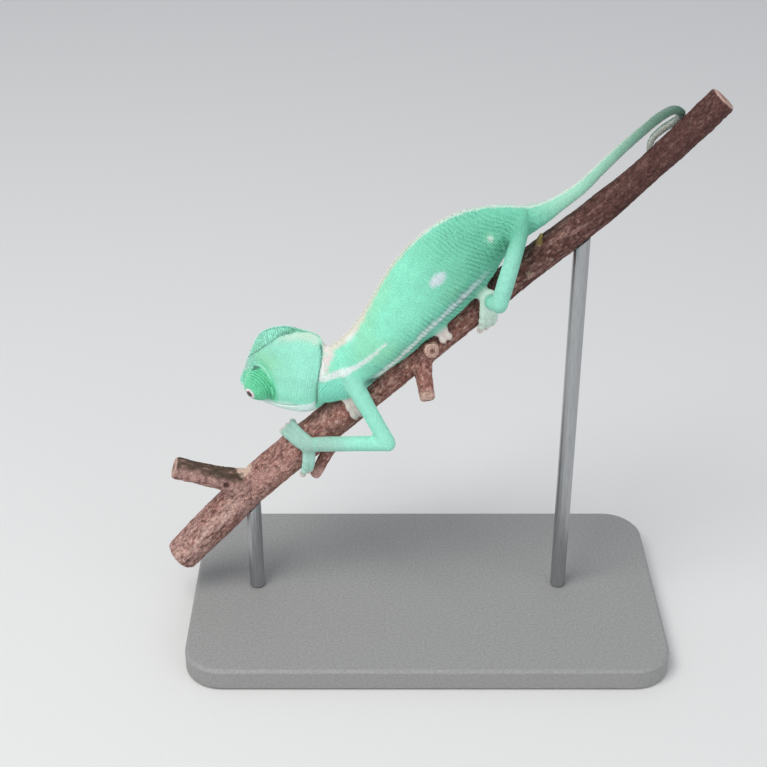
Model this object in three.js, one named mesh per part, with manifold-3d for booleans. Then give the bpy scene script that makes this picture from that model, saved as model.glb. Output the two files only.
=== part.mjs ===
// A young veiled chameleon walking head first down a bare twig, as a still model on a display stand.
// Millimetres, +Z up. The origin is the middle of the base's underside. The twig rises towards +X in
// the plane y = 0, the animal's left side faces -Y, and its head is turned a little towards +Y.
import * as THREE from "three";
import { mergeVertices } from "three/addons/utils/BufferGeometryUtils.js";
import Module from "manifold-3d";

const wasm = await Module();
wasm.setup();

// ---- driving dimensions ----
const GAP = 0.3; // clearance between neighbouring solids
const BASE = { length: 100, width: 56, height: 5, corner: 8, bevel: 0.6 };
const ROD = { radius: 1.6, lowerX: -36.5, upperX: 29 };
const HEAD = {
  origin: [-20.7, 0, 48.8], // under the occiput, level with the chin
  yaw: 30, // degrees that the head is turned away from -Y
};
const EYE = {
  forward: 13.4, // the turret's middle, ahead of the occiput
  out: 3.3, // and to the side
  up: 5.1,
  wall: 1.1, // where the turret's flat inner side lies, left or right of the middle
  turret: 3.65, // radii
  ball: 1.15,
  show: 0.8, // how deep the eyeball's middle lies under the turret's skin
};
const TOE = {
  root: 0.95, // radii
  tip: 0.72,
  pitch: 1.24,
  rest: 0.08, // clearance over GAP between a toe and the bark
  claw: 1.1,
  clawRoot: 0.34,
  clawTip: 0.1,
};
const PALM = { along: 2.1, round: 1.85, thick: 1.25 };
const BEYOND = 90; // longer than any of the body's pieces, for the blocks that part them

const FINISH = {
  skin: { color: 0x86e6be, roughness: 0.62 },
  turret: { color: 0x74dcae, roughness: 0.6 },
  eye: { color: 0x2a1a14, roughness: 0.15 },
  foot: { color: 0xa6e2cf, roughness: 0.65 },
  bark: { color: 0x6e4a42, roughness: 0.9 },
  base: { color: 0x8d9096, roughness: 0.55 },
  steel: { color: 0xb9bcc0, roughness: 0.3, metalness: 0.9 },
};

// ---- solids ----
const model = new THREE.Group();

function vec([x, y, z]) {
  return new THREE.Vector3(x, y, z);
}

// A closed geometry as a manifold solid.
function solid(geometry) {
  const bare = geometry.clone();
  bare.deleteAttribute("normal");
  bare.deleteAttribute("uv");
  const merged = mergeVertices(bare, 1e-4);
  const vertProperties = new Float32Array(merged.attributes.position.array);
  const triVerts = new Uint32Array(merged.index.array);
  return new wasm.Manifold(new wasm.Mesh({ numProp: 3, vertProperties, triVerts }));
}

function geometryOf(body) {
  const mesh = body.getMesh();
  const geometry = new THREE.BufferGeometry();
  geometry.setAttribute("position", new THREE.BufferAttribute(mesh.vertProperties, 3));
  geometry.setIndex(new THREE.BufferAttribute(mesh.triVerts, 1));
  return geometry;
}

// The same solid with every vertex moved out along its normal.
function swell(body, by = GAP) {
  const geometry = geometryOf(body);
  geometry.computeVertexNormals();
  const { position, normal } = geometry.attributes;
  for (let i = 0; i < position.count; i++) {
    position.setXYZ(
      i,
      position.getX(i) + by * normal.getX(i),
      position.getY(i) + by * normal.getY(i),
      position.getZ(i) + by * normal.getZ(i),
    );
  }
  geometry.deleteAttribute("normal");
  return solid(geometry);
}

// The biggest of the bodies that a cut leaves.
function largest(body) {
  return body.decompose().reduce((best, piece) => (piece.volume() > best.volume() ? piece : best));
}

function join(bodies) {
  return bodies.reduce((sum, body) => sum.add(body));
}

function cut(body, ...tools) {
  return largest(tools.reduce((left, tool) => left.subtract(tool), body));
}

// A block standing on a plane and reaching `deep` to the side that the direction points to.
function block(point, direction, reach, deep) {
  const box = new THREE.BoxGeometry(reach, reach, deep).translate(0, 0, deep / 2);
  const turn = new THREE.Quaternion().setFromUnitVectors(new THREE.Vector3(0, 0, 1), direction);
  box.applyQuaternion(turn);
  return solid(box.translate(point.x, point.y, point.z));
}

function add(name, body, finish) {
  const mesh = new THREE.Mesh(geometryOf(body), new THREE.MeshStandardMaterial(finish));
  mesh.name = name;
  model.add(mesh);
}

// ---- lofts ----
const SEAT = new THREE.Vector3(0, 0, 1);

// A surface from a list of rings of equal length, closed by a point at each end.
function skinRings(rings, first, last) {
  const sides = rings[0].length;
  const points = [...rings.flat(), first, last];
  const faces = [];
  for (let r = 0; r + 1 < rings.length; r++) {
    for (let k = 0; k < sides; k++) {
      const a = r * sides + k;
      const b = r * sides + ((k + 1) % sides);
      faces.push(a, b + sides, b, a, a + sides, b + sides);
    }
  }
  const tail = rings.length * sides;
  const top = tail - sides;
  for (let k = 0; k < sides; k++) {
    const next = (k + 1) % sides;
    faces.push(tail, k, next);
    faces.push(tail + 1, top + next, top + k);
  }
  const geometry = new THREE.BufferGeometry().setFromPoints(points);
  geometry.setIndex(faces);
  return solid(geometry);
}

// Unit axes across a path: `up` leans towards the hint, `side` is to its right.
function axesAcross(tangent, hint) {
  const up = hint.clone().addScaledVector(tangent, -hint.dot(tangent)).normalize();
  const side = new THREE.Vector3().crossVectors(tangent, up).normalize();
  return { up, side };
}

function ellipse(angle, high, wide) {
  return [wide * Math.cos(angle), high * Math.sin(angle)];
}

// An oval that narrows to a soft ridge along the back.
function keeled(angle, high, wide) {
  const lift = Math.max(0, Math.sin(angle));
  return [wide * Math.cos(angle) * (1 - 0.28 * lift * lift), high * Math.sin(angle)];
}

// Sweeps a section along stations of { at, high, wide }; each end is a dome, or flat where dome is 0.
function loft(stations, { rings, sides, section = ellipse, hint = SEAT, dome = [1, 1], round = 3 }) {
  const path = new THREE.CatmullRomCurve3(stations.map((s) => vec(s.at)), false, "centripetal");
  const size = new THREE.CatmullRomCurve3(stations.map((s) => vec([s.high, s.wide ?? s.high, 0])));
  const made = [];
  const ringAt = (t, shift, scale) => {
    const tangent = path.getTangent(t);
    const { up, side } = axesAcross(tangent, hint);
    const centre = path.getPoint(t).addScaledVector(tangent, shift);
    const { x: high, y: wide } = size.getPoint(t);
    return Array.from({ length: sides }, (_, k) => {
      const [across, above] = section((k / sides) * 2 * Math.PI, high * scale, wide * scale);
      return centre.clone().addScaledVector(side, across).addScaledVector(up, above);
    });
  };
  const domeDepth = (t) => {
    const { x: high, y: wide } = size.getPoint(t);
    return Math.min(high, wide);
  };
  const poleAt = (t, shift) => path.getPoint(t).addScaledVector(path.getTangent(t), shift);
  const startDepth = dome[0] * domeDepth(0);
  const endDepth = dome[1] * domeDepth(1);
  for (let j = round - 1; j > 0 && startDepth > 0; j--) {
    const a = ((j / round) * Math.PI) / 2;
    made.push(ringAt(0, -startDepth * Math.sin(a), Math.cos(a)));
  }
  for (let i = 0; i <= rings; i++) made.push(ringAt(i / rings, 0, 1));
  for (let j = 1; j < round && endDepth > 0; j++) {
    const a = ((j / round) * Math.PI) / 2;
    made.push(ringAt(1, endDepth * Math.sin(a), Math.cos(a)));
  }
  return skinRings(made, poleAt(0, -startDepth), poleAt(1, endDepth));
}

// ---- the twig ----
const TWIG = [
  { at: [-52.4, 0, 13.4], high: 3.6 },
  { at: [-44.3, 0.2, 22.4], high: 3.85 },
  { at: [-36.7, 0.6, 30.8], high: 3.7 },
  { at: [-27, 1.2, 39.6], high: 3.75 },
  { at: [-16.9, 1.8, 48.7], high: 3.65 },
  { at: [-3.3, 2.3, 60.8], high: 3.35 },
  { at: [9.6, 2.3, 72.5], high: 3.2 },
  { at: [24.8, 1.2, 86.8], high: 3.0 },
  { at: [32, 0.6, 93.4], high: 2.95 },
  { at: [38.2, 0.1, 99.8], high: 2.6 },
  { at: [45.6, -0.3, 107.8], high: 2.6 },
  { at: [52.6, -0.5, 115.7], high: 2.7 },
];
const twigPath = new THREE.CatmullRomCurve3(TWIG.map((s) => vec(s.at)), false, "centripetal");

// The twig's axis, direction and radius where it passes a given x.
function twigAt(x) {
  let low = 0;
  let high = 1;
  for (let i = 0; i < 30; i++) {
    const middle = (low + high) / 2;
    if (twigPath.getPoint(middle).x < x) low = middle;
    else high = middle;
  }
  const after = Math.max(1, TWIG.findIndex((s, i) => i > 0 && s.at[0] >= x));
  const [from, to] = [TWIG[after - 1], TWIG[after]];
  const share = THREE.MathUtils.clamp((x - from.at[0]) / (to.at[0] - from.at[0]), 0, 1);
  const tangent = twigPath.getTangent(low);
  const radius = THREE.MathUtils.lerp(from.high, to.high, share);
  return { centre: twigPath.getPoint(low), tangent, radius, ...axesAcross(tangent, SEAT) };
}

// A point beside the twig: 0 degrees is over it, 90 is the -Y side, `clear` is the height above the bark.
function besideTwig(x, degrees, clear) {
  const { centre, up, side, radius } = twigAt(x);
  const angle = THREE.MathUtils.degToRad(degrees);
  return centre
    .clone()
    .addScaledVector(up, (radius + clear) * Math.cos(angle))
    .addScaledVector(side, (radius + clear) * Math.sin(angle));
}

// A short side shoot, cut off square or ending in a bud.
function shoot(from, to, root, tip, dome = 0) {
  const middle = [0, 1, 2].map((i) => (from[i] + to[i]) / 2);
  const stations = [
    { at: from, high: root * 1.35 },
    { at: middle, high: (root + tip) / 2 },
    { at: to, high: tip },
  ];
  return loft(stations, { rings: 3, sides: 8, hint: new THREE.Vector3(0.3, 0.4, 1), dome: [0, dome] });
}

function makeTwig() {
  const knobbly = (angle, high) => {
    const r = high * (1 + 0.035 * Math.cos(3 * angle + 0.7));
    return [r * Math.cos(angle), r * Math.sin(angle)];
  };
  return [
    loft(TWIG, { rings: 18, sides: 12, section: knobbly, dome: [0, 0] }),
    shoot([-39, 0.2, 32], [-52.2, -1.6, 36.9], 2.2, 2.35),
    shoot([-19.4, 1.4, 40.9], [-23.2, 0.3, 34.1], 1.1, 1.2, 0.7),
    shoot([-1.6, 1, 62], [-0.2, -4.2, 54.6], 1.7, 1.55),
    shoot([0, 1.6, 63.8], [0.5, -3.9, 65.6], 1.7, 1.6),
    shoot([19.6, 1.2, 82.5], [20.9, -1, 89.2], 1.1, 0.45, 1),
  ];
}

// ---- neck, trunk and tail ----
const SPINE = [
  { at: [-24.1, 1.8, 57.2], high: 5.7, wide: 3.7 },
  { at: [-18.6, 0, 58.0], high: 6.3, wide: 3.9 },
  { at: [-13.0, 0, 62.6], high: 5.8, wide: 4.3 },
  { at: [-8.0, 0, 67.9], high: 6.7, wide: 4.6 },
  { at: [-3.5, 0, 73.6], high: 7.9, wide: 4.8 },
  { at: [0.3, 0, 78.7], high: 8.7, wide: 4.8 },
  { at: [4.3, 0, 83.2], high: 8.6, wide: 4.6 },
  { at: [8.3, 0, 87.2], high: 7.5, wide: 4.1 },
  { at: [12.6, 0, 90.0], high: 5.3, wide: 3.5 },
  { at: [16.8, 0, 91.4], high: 3.5, wide: 3.0 },
  { at: [20.4, 0, 92.8], high: 2.4, wide: 2.2 },
  { at: [24.2, 0, 95.3], high: 1.65, wide: 1.6 },
];
// The tail hooks over the twig, and its end hangs down the far side.
const TAIL = [
  { at: [16.8, 0, 91.4], high: 3.5, wide: 3.0 },
  { at: [20.4, 0, 92.8], high: 2.4, wide: 2.2 },
  { at: [24.2, 0, 95.3], high: 1.65, wide: 1.6 },
  { at: [28, 0, 98.3], high: 1.4, wide: 1.35 },
  { at: [31.2, 0, 101.9], high: 1.26, wide: 1.22 },
  { at: [34.6, 0, 105.6], high: 1.18, wide: 1.15 },
  { at: [38, 0, 109], high: 1.1, wide: 1.08 },
  { at: [41.4, 0, 112.1], high: 1.05, wide: 1.02 },
  { at: [43.9, 0.3, 113.4], high: 1.0, wide: 0.98 },
  { at: [45.7, 1.6, 112.2], high: 0.96 },
  { at: [45.2, 3.1, 110.4], high: 0.93 },
  { at: [43.0, 4.4, 108.2], high: 0.88 },
  { at: [41.2, 4.9, 105.8], high: 0.79 },
  { at: [40.9, 4.4, 103.6], high: 0.68 },
  { at: [41.4, 3.6, 101.5], high: 0.57 },
  { at: [42.2, 2.9, 99.8], high: 0.47 },
];
// Where the thin cuts part the body, and which way they face.
const PARTINGS = {
  neck: { at: [-14.8, 0, 61.4], facing: [0.7, 0, 0.71] },
  rump: { at: [19.4, 0, 92.5], facing: [0.85, 0, 0.53] },
  tail: [
    { at: [30.6, 0, 101.3], facing: [0.68, 0, 0.73], reach: 6 },
    { at: [45.1, 1.0, 113.0], facing: [0.75, 0.6, -0.28], reach: 3 },
  ],
};
// A point inside each length of the tail.
const TAIL_PIECES = { tail_base: [24.2, 0, 95.3], tail_middle: [38, 0, 109] };

function makeTrunkLine() {
  return loft(SPINE, { rings: 18, sides: 15, section: keeled, dome: [0.6, 1] });
}

function makeTailLine() {
  const hint = new THREE.Vector3(-0.45, 0.35, 0.8).normalize();
  return loft(TAIL, { rings: 32, sides: 8, hint });
}

// What is left of a body ahead of a plane, or behind it where way is -1.
function sideOf(body, { at, facing }, way) {
  const away = vec(facing).normalize().multiplyScalar(-way);
  return largest(body.subtract(block(vec(at).addScaledVector(away, -GAP / 2), away, BEYOND, BEYOND)));
}

function partTail(tail) {
  const slabs = PARTINGS.tail.map(({ at, facing, reach }) => {
    const way = vec(facing).normalize();
    return block(vec(at).addScaledVector(way, -GAP / 2), way, reach, GAP);
  });
  const pieces = slabs.reduce((left, slab) => left.subtract(slab), tail).decompose();
  const holds = (piece, point) => piece.intersect(ball(vec(point), 0.1, 6, 4)).volume() > 0;
  const named = {};
  for (const [name, point] of Object.entries(TAIL_PIECES)) {
    named[name] = pieces.find((piece) => holds(piece, point));
  }
  named.tail_tip = pieces.find((piece) => !Object.values(named).includes(piece));
  return named;
}

// ---- head ----
const headFrame = new THREE.Group();
headFrame.position.set(...HEAD.origin);
headFrame.rotation.z = THREE.MathUtils.degToRad(180 - HEAD.yaw);
headFrame.updateMatrix();

// Forward from the occiput, to the animal's left, and up from the chin.
function inHead(forward, left, up) {
  return new THREE.Vector3(forward, left, up).applyMatrix4(headFrame.matrix);
}

// Sections of the head: how far forward, chin height, half widths at cheek and casque edge, and the
// heights of the casque's edge and of its middle ridge.
const SKULL = [
  { forward: 0.3, chin: 2.5, cheek: 3.2, edge: 0.6, edgeUp: 16.2, ridge: 17.0 },
  { forward: 1.2, chin: 1.3, cheek: 4.2, edge: 0.8, edgeUp: 17.0, ridge: 17.7 },
  { forward: 3.3, chin: 0.3, cheek: 4.8, edge: 0.9, edgeUp: 17.4, ridge: 18.0 },
  { forward: 6, chin: -0.2, cheek: 5.0, edge: 1.4, edgeUp: 17.0, ridge: 17.9 },
  { forward: 9, chin: -0.4, cheek: 4.9, edge: 2.6, edgeUp: 16.1, ridge: 17.9 },
  { forward: 11.7, chin: -0.4, cheek: 4.4, edge: 3.1, edgeUp: 13.8, ridge: 17.0 },
  { forward: 14.5, chin: -0.3, cheek: 3.6, edge: 3.0, edgeUp: 11.5, ridge: 15.5 },
  { forward: 16.6, chin: 0.1, cheek: 2.9, edge: 2.5, edgeUp: 9.6, ridge: 13.2 },
  { forward: 18, chin: 0.5, cheek: 2.5, edge: 2.0, edgeUp: 7.7, ridge: 9.6 },
  { forward: 19.3, chin: 0.9, cheek: 2.0, edge: 1.5, edgeUp: 5.0, ridge: 5.6 },
  { forward: 20.4, chin: 1.6, cheek: 1.3, edge: 0.9, edgeUp: 3.4, ridge: 3.7 },
];

function makeSkull() {
  const shape = new THREE.CatmullRomCurve3(SKULL.map((s) => vec([s.forward, s.chin, s.cheek])));
  const roof = new THREE.CatmullRomCurve3(SKULL.map((s) => vec([s.edge, s.edgeUp, s.ridge])));
  const rings = 15;
  const ringAt = (t) => {
    const { x: forward, y: chin, z: cheek } = shape.getPoint(t);
    const { x: edge, y: edgeUp, z: ridge } = roof.getPoint(t);
    const tall = edgeUp - chin;
    const half = [
      [0.5 * cheek, chin + 0.02 * tall],
      [0.86 * cheek, chin + 0.09 * tall],
      [cheek, chin + 0.3 * tall],
      [0.97 * cheek, chin + 0.55 * tall],
      [0.45 * cheek + 0.55 * edge, chin + 0.82 * tall],
      [edge, edgeUp],
      [0.55 * edge, edgeUp + 0.62 * (ridge - edgeUp)],
    ];
    const left = half.map(([out, up]) => inHead(forward, out, up));
    const right = half.map(([out, up]) => inHead(forward, -out, up));
    return [inHead(forward, 0, chin), ...left, inHead(forward, 0, ridge), ...right.reverse()];
  };
  const list = Array.from({ length: rings + 1 }, (_, i) => ringAt(i / rings).reverse());
  const [back, front] = [SKULL[0], SKULL[SKULL.length - 1]];
  const backPole = inHead(back.forward - 0.4, 0, (back.chin + back.ridge) / 2);
  const frontPole = inHead(front.forward + 0.6, 0, (front.chin + front.ridge) / 2);
  return skinRings(list, backPole, frontPole);
}

function gaze(side) {
  return inHead(0.32, side * 0.91, -0.27).sub(inHead(0, 0, 0)).normalize();
}

function ball(centre, radius, across, down) {
  const sphere = new THREE.SphereGeometry(radius, across, down);
  return solid(sphere.translate(centre.x, centre.y, centre.z));
}

function makeEye(side) {
  const centre = inHead(EYE.forward, side * EYE.out, EYE.up);
  const inner = inHead(EYE.forward, side * EYE.wall, EYE.up);
  const inward = inHead(0, -side, 0).sub(inHead(0, 0, 0));
  const tip = centre.clone().addScaledVector(gaze(side), EYE.turret - EYE.show);
  const turret = cut(ball(centre, EYE.turret, 13, 8), block(inner, inward, 20, 10));
  return { turret, eye: ball(tip, EYE.ball, 9, 6) };
}

// ---- limbs ----
// joints: root, elbow or knee, and wrist. radii: along the upper and the lower length.
// foot: the palm's x along the twig and degrees round it, and where its two bundles of toes end.
const LIMBS = {
  fore_left: {
    joints: [[-16.3, -2.7, 60.3], [-8.2, -7.6, 46.6], [-21.0, -4.8, 44.6]],
    radii: [[2.3, 1.8, 1.8], [1.8, 1.65, 1.7]],
    foot: {
      x: -23.6,
      degrees: 76,
      inner: { x: -25.6, degrees: -18, toes: 3 },
      outer: { x: -28, degrees: 146, toes: 2 },
    },
  },
  fore_right: {
    joints: [[-14.8, 2.7, 61.2], [-6.2, 12.6, 50.6], [-14.2, 7.0, 55.3]],
    radii: [[2.2, 1.7, 1.7], [1.65, 1.5, 1.55]],
    foot: {
      x: -12.6,
      degrees: -34,
      inner: { x: -14.2, degrees: 98, toes: 3 },
      outer: { x: -14.6, degrees: -118, toes: 2 },
    },
  },
  hind_left: {
    joints: [[17.6, -1.6, 92.6], [12.6, -11.6, 79.6], [11.7, -5.2, 76.8]],
    radii: [[1.5, 1.75, 1.75], [1.6, 1.45, 1.5]],
    foot: {
      x: 12.6,
      degrees: 72,
      inner: { x: 10.6, degrees: -18, toes: 2 },
      outer: { x: 8.6, degrees: 150, toes: 3 },
    },
  },
  hind_right: {
    joints: [[15.8, 1.8, 91.6], [8.2, 11.0, 80.2], [3.2, 5.9, 71.2]],
    radii: [[1.6, 1.8, 1.75], [1.6, 1.45, 1.5]],
    foot: {
      x: 4.6,
      degrees: -30,
      inner: { x: 3.6, degrees: 84, toes: 2 },
      outer: { x: 2.4, degrees: -112, toes: 3 },
    },
  },
};

// One toe from the palm round the twig; `row` is its place across the bundle, in pitches.
function makeToe(foot, end, row) {
  const { radius, tangent } = twigAt(foot.x);
  const along = (end.x - foot.x) / tangent.x;
  const around = THREE.MathUtils.degToRad(end.degrees - foot.degrees) * (radius + TOE.root);
  const length = Math.hypot(along, around);
  const pointAt = (f, clear) => {
    const spread = row * TOE.pitch * (0.72 + 0.34 * f);
    const x = foot.x + (end.x - foot.x) * f - ((spread * around) / length) * tangent.x;
    const turn = THREE.MathUtils.radToDeg(((spread * along) / length) / (radius + TOE.root));
    return besideTwig(x, foot.degrees + (end.degrees - foot.degrees) * f + turn, clear).toArray();
  };
  const stations = [0, 0.25, 0.5, 0.75, 1].map((f) => {
    const high = THREE.MathUtils.lerp(TOE.root, TOE.tip, f);
    return { at: pointAt(f, GAP + TOE.rest + high), high };
  });
  const { centre } = twigAt(end.x);
  const hint = vec(stations[2].at).sub(centre).normalize();
  const reach = TOE.claw / length;
  const claw = [
    { at: pointAt(1, GAP + TOE.rest + TOE.tip), high: TOE.clawRoot },
    { at: pointAt(1 + reach, GAP + TOE.rest + TOE.clawTip), high: TOE.clawTip },
  ];
  return [
    loft(stations, { rings: 3, sides: 5, hint, dome: [0, 1], round: 2 }),
    loft(claw, { rings: 1, sides: 3, hint, dome: [0, 0.5], round: 1 }),
  ];
}

function makeFoot(foot) {
  const palm = besideTwig(foot.x, foot.degrees, PALM.thick + GAP);
  const { centre, tangent } = twigAt(foot.x);
  const out = palm.clone().sub(centre).normalize();
  const pad = new THREE.SphereGeometry(1, 8, 6).scale(PALM.round, PALM.thick, PALM.along);
  const across = new THREE.Vector3().crossVectors(out, tangent);
  pad.applyMatrix4(new THREE.Matrix4().makeBasis(across, out, tangent));
  pad.translate(palm.x, palm.y, palm.z);
  const toes = [foot.inner, foot.outer].flatMap((end) =>
    Array.from({ length: end.toes }, (_, i) => makeToe(foot, end, i - (end.toes - 1) / 2)),
  );
  return [solid(pad), ...toes.flat()];
}

function makeLength(from, to, radii) {
  const stations = [from, from.map((v, i) => (v + to[i]) / 2), to].map((at, i) => ({ at, high: radii[i] }));
  return loft(stations, { rings: 4, sides: 9, hint: new THREE.Vector3(0.2, 0.9, 0.4).normalize() });
}

// ---- stand ----
function makeBase() {
  const { length, width, height, corner, bevel } = BASE;
  const [x, y] = [length / 2 - bevel, width / 2 - bevel];
  const r = corner - bevel;
  const outline = new THREE.Shape();
  outline.absarc(x - r, y - r, r, 0, Math.PI / 2);
  outline.absarc(r - x, y - r, r, Math.PI / 2, Math.PI);
  outline.absarc(r - x, r - y, r, Math.PI, 1.5 * Math.PI);
  outline.absarc(x - r, r - y, r, 1.5 * Math.PI, 2 * Math.PI);
  const plate = new THREE.ExtrudeGeometry(outline, {
    depth: height - 2 * bevel,
    bevelThickness: bevel,
    bevelSize: bevel,
    bevelSegments: 1,
    curveSegments: 4,
  });
  return solid(plate.translate(0, 0, bevel));
}

// An upright rod from the base to the underside of the twig, its top cut to the twig's curve.
function makeRod(x, twig) {
  const { centre } = twigAt(x);
  const foot = BASE.height + GAP;
  const tall = centre.z - foot;
  const rod = new THREE.CylinderGeometry(ROD.radius, ROD.radius, tall, 16).rotateX(Math.PI / 2);
  return cut(solid(rod.translate(x, centre.y, foot + tall / 2)), swell(twig));
}

// ---- assembly ----
const twig = makeTwig();
const bark = twig.map((piece) => swell(piece));
add("perch", join(twig), FINISH.bark);
add("stand_base", makeBase(), FINISH.base);
add("stand_rod_lower", makeRod(ROD.lowerX, twig[0]), FINISH.steel);
add("stand_rod_upper", makeRod(ROD.upperX, twig[0]), FINISH.steel);

const skull = makeSkull();
const skullRoom = swell(skull);
const turretRoom = [];
for (const [name, side] of [["left", 1], ["right", -1]]) {
  const { turret, eye } = makeEye(side);
  turretRoom.push(swell(turret));
  add(`eye_turret_${name}`, cut(turret, swell(eye)), FINISH.turret);
  add(`eye_${name}`, eye, FINISH.eye);
}
add("head", cut(skull, ...turretRoom), FINISH.skin);

const feet = Object.fromEntries(Object.entries(LIMBS).map(([name, limb]) => [name, makeFoot(limb.foot)]));
const feetRoom = Object.values(feet).flatMap((pieces) => pieces.map((piece) => swell(piece)));
const spine = makeTrunkLine();
const trunk = sideOf(sideOf(spine, PARTINGS.neck, 1), PARTINGS.rump, -1);
const tail = partTail(sideOf(makeTailLine(), PARTINGS.rump, 1));
add("neck", cut(sideOf(spine, PARTINGS.neck, -1), skullRoom, ...bark, ...feetRoom), FINISH.skin);
add("trunk", cut(trunk, ...bark, ...feetRoom), FINISH.skin);
add("tail_base", tail.tail_base, FINISH.skin);
add("tail_middle", tail.tail_middle, FINISH.skin);
add("tail_tip", cut(tail.tail_tip, ...bark), FINISH.skin);

const bodyRoom = [swell(spine), skullRoom];
for (const [name, { joints, radii }] of Object.entries(LIMBS)) {
  const [root, bend, wrist] = joints;
  const upper = makeLength(root, bend, radii[0]);
  const lower = makeLength(bend, wrist, radii[1]);
  const footRoom = feet[name].map((piece) => swell(piece));
  const [end, side] = name.split("_");
  add(`${end}leg_${side}_upper`, cut(upper, ...bodyRoom, ...footRoom, ...bark), FINISH.skin);
  add(`${end}leg_${side}_lower`, cut(lower, swell(upper), ...bodyRoom, ...footRoom, ...bark), FINISH.skin);
  add(`${end}foot_${side}`, join(feet[name]), FINISH.foot);
}

export default model;
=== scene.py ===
"""The finish of a young veiled chameleon on a twig: one skin with its folds, granular scales over it, eyes,
claws, bark, and a plain display stand. Lengths are in millimetres until a mesh is made, in the frame of the
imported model."""

import math

import bpy
import numpy as np
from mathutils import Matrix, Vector
from mathutils.bvhtree import BVHTree


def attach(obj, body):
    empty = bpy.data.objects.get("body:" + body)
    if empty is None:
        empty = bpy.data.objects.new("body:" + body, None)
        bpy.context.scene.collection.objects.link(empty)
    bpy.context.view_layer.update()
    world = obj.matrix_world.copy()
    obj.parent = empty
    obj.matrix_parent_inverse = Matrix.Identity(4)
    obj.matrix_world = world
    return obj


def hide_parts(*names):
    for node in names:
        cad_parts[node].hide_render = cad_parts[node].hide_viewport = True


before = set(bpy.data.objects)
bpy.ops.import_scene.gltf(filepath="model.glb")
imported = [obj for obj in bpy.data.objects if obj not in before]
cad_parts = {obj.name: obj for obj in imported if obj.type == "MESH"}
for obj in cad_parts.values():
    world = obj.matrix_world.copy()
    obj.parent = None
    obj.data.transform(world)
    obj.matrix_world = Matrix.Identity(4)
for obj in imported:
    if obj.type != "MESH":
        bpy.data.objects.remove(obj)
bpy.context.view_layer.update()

MM = 0.001

# ---- driving dimensions ----
CLOSE = 0.22  # how far each solid is swollen before they are joined, to close the thin cuts
COAT = 0.12  # depth of the scales
VOXEL = 0.18  # the step of the mesh that joins the flesh
EVENING_ROUNDS = 120  # of smoothing over the joined flesh
BARK_VOXEL = 0.26  # the step of the twig's own mesh
SKIN_TRIANGLES = 188000

HEAD_ORIGIN = np.array([-20.7, 0.0, 48.8])  # under the occiput, level with the chin
HEAD_YAW = math.radians(30)
HEAD_AHEAD = np.array([-math.cos(HEAD_YAW), math.sin(HEAD_YAW), 0.0])
HEAD_LEFT = np.array([-math.sin(HEAD_YAW), -math.cos(HEAD_YAW), 0.0])
UP = np.array([0.0, 0.0, 1.0])

TURRET = {"ahead": 13.4, "out": 3.3, "up": 5.1, "radius": 3.65}
GAZE = (0.16, 0.945, -0.27)  # ahead, out, up
RIM_ANGLE = math.radians(10.8)  # from the gaze to the lids' rim
BALL = {"radius": 1.12, "depth": 2.78}  # the eyeball, and its middle's distance from the turret's
FOLD_PITCH = 0.62  # between the turret's ring folds
OCCIPUT = (0.1, 0.0, 16.0)  # where the casque's rear edge is smoothed into the neck: ahead, out, up
NOSTRIL = (18.6, 5.4)  # ahead, up

# The lateral crest from the occiput to the snout: ahead, out, up.
CREST = np.array([
    [1.6, 0.4, 17.4], [3.3, 0.45, 17.8], [6.0, 0.9, 17.5], [9.0, 2.3, 16.4],
    [11.7, 3.0, 14.0], [14.5, 3.0, 11.5], [16.6, 2.5, 9.6], [18.0, 2.0, 7.7],
])
# The head's rear margin, where it stands over the neck: up, ahead.
MARGIN = np.array([[2.0, 1.0], [6.0, 0.3], [9.6, -0.2], [12.5, -0.2], [14.8, 0.2], [16.7, 0.9], [19.0, 2.0]])
# The line of the mouth on the side of the head: ahead, up.
MOUTH = np.array([[3.4, 3.3], [6.0, 2.6], [9.0, 2.0], [13.0, 1.8], [17.0, 2.0], [21.2, 2.5]])

# The trunk's own axes: every "along" and "high" below is measured on these two from the frame's origin.
BODY_AXIS = np.array([0.72, 0.0, 0.694])
BODY_UP = np.array([-0.694, 0.0, 0.72])
TAIL_FROM = 84.0  # along the body, where the tail's finer scales begin
COAT_CUT = 53  # along the body, where the coat's front pieces meet its rear ones
NECK_PITCH = 0.56  # between the upright wrinkles of the neck
FLANK_PITCH = 0.95  # between the wavy wrinkles of the flank
# The pale line low on the flank, from shoulder to groin: along, high.
FLANK_LINE = np.array([
    [29, 50.9], [31.5, 50.0], [34, 49.7], [38, 49.7], [42, 50.0], [48, 50.6], [56, 51.0], [65, 51.6],
])
OVAL = (57.4, 57.6)  # the pale oval of the flank: along, high
SPOT = (70.0, 56.7)  # the white spot before the thigh

# The twig's axis and radius: x, y, z, radius.
TWIG = np.array([
    [-52.4, 0, 13.4, 3.6], [-44.3, 0.2, 22.4, 3.85], [-36.7, 0.6, 30.8, 3.7], [-27, 1.2, 39.6, 3.75],
    [-16.9, 1.8, 48.7, 3.65], [-3.3, 2.3, 60.8, 3.35], [9.6, 2.3, 72.5, 3.2], [24.8, 1.2, 86.8, 3.0],
    [32, 0.6, 93.4, 2.95], [38.2, 0.1, 99.8, 2.6], [45.6, -0.3, 107.8, 2.6], [52.6, -0.5, 115.7, 2.7],
])
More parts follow.
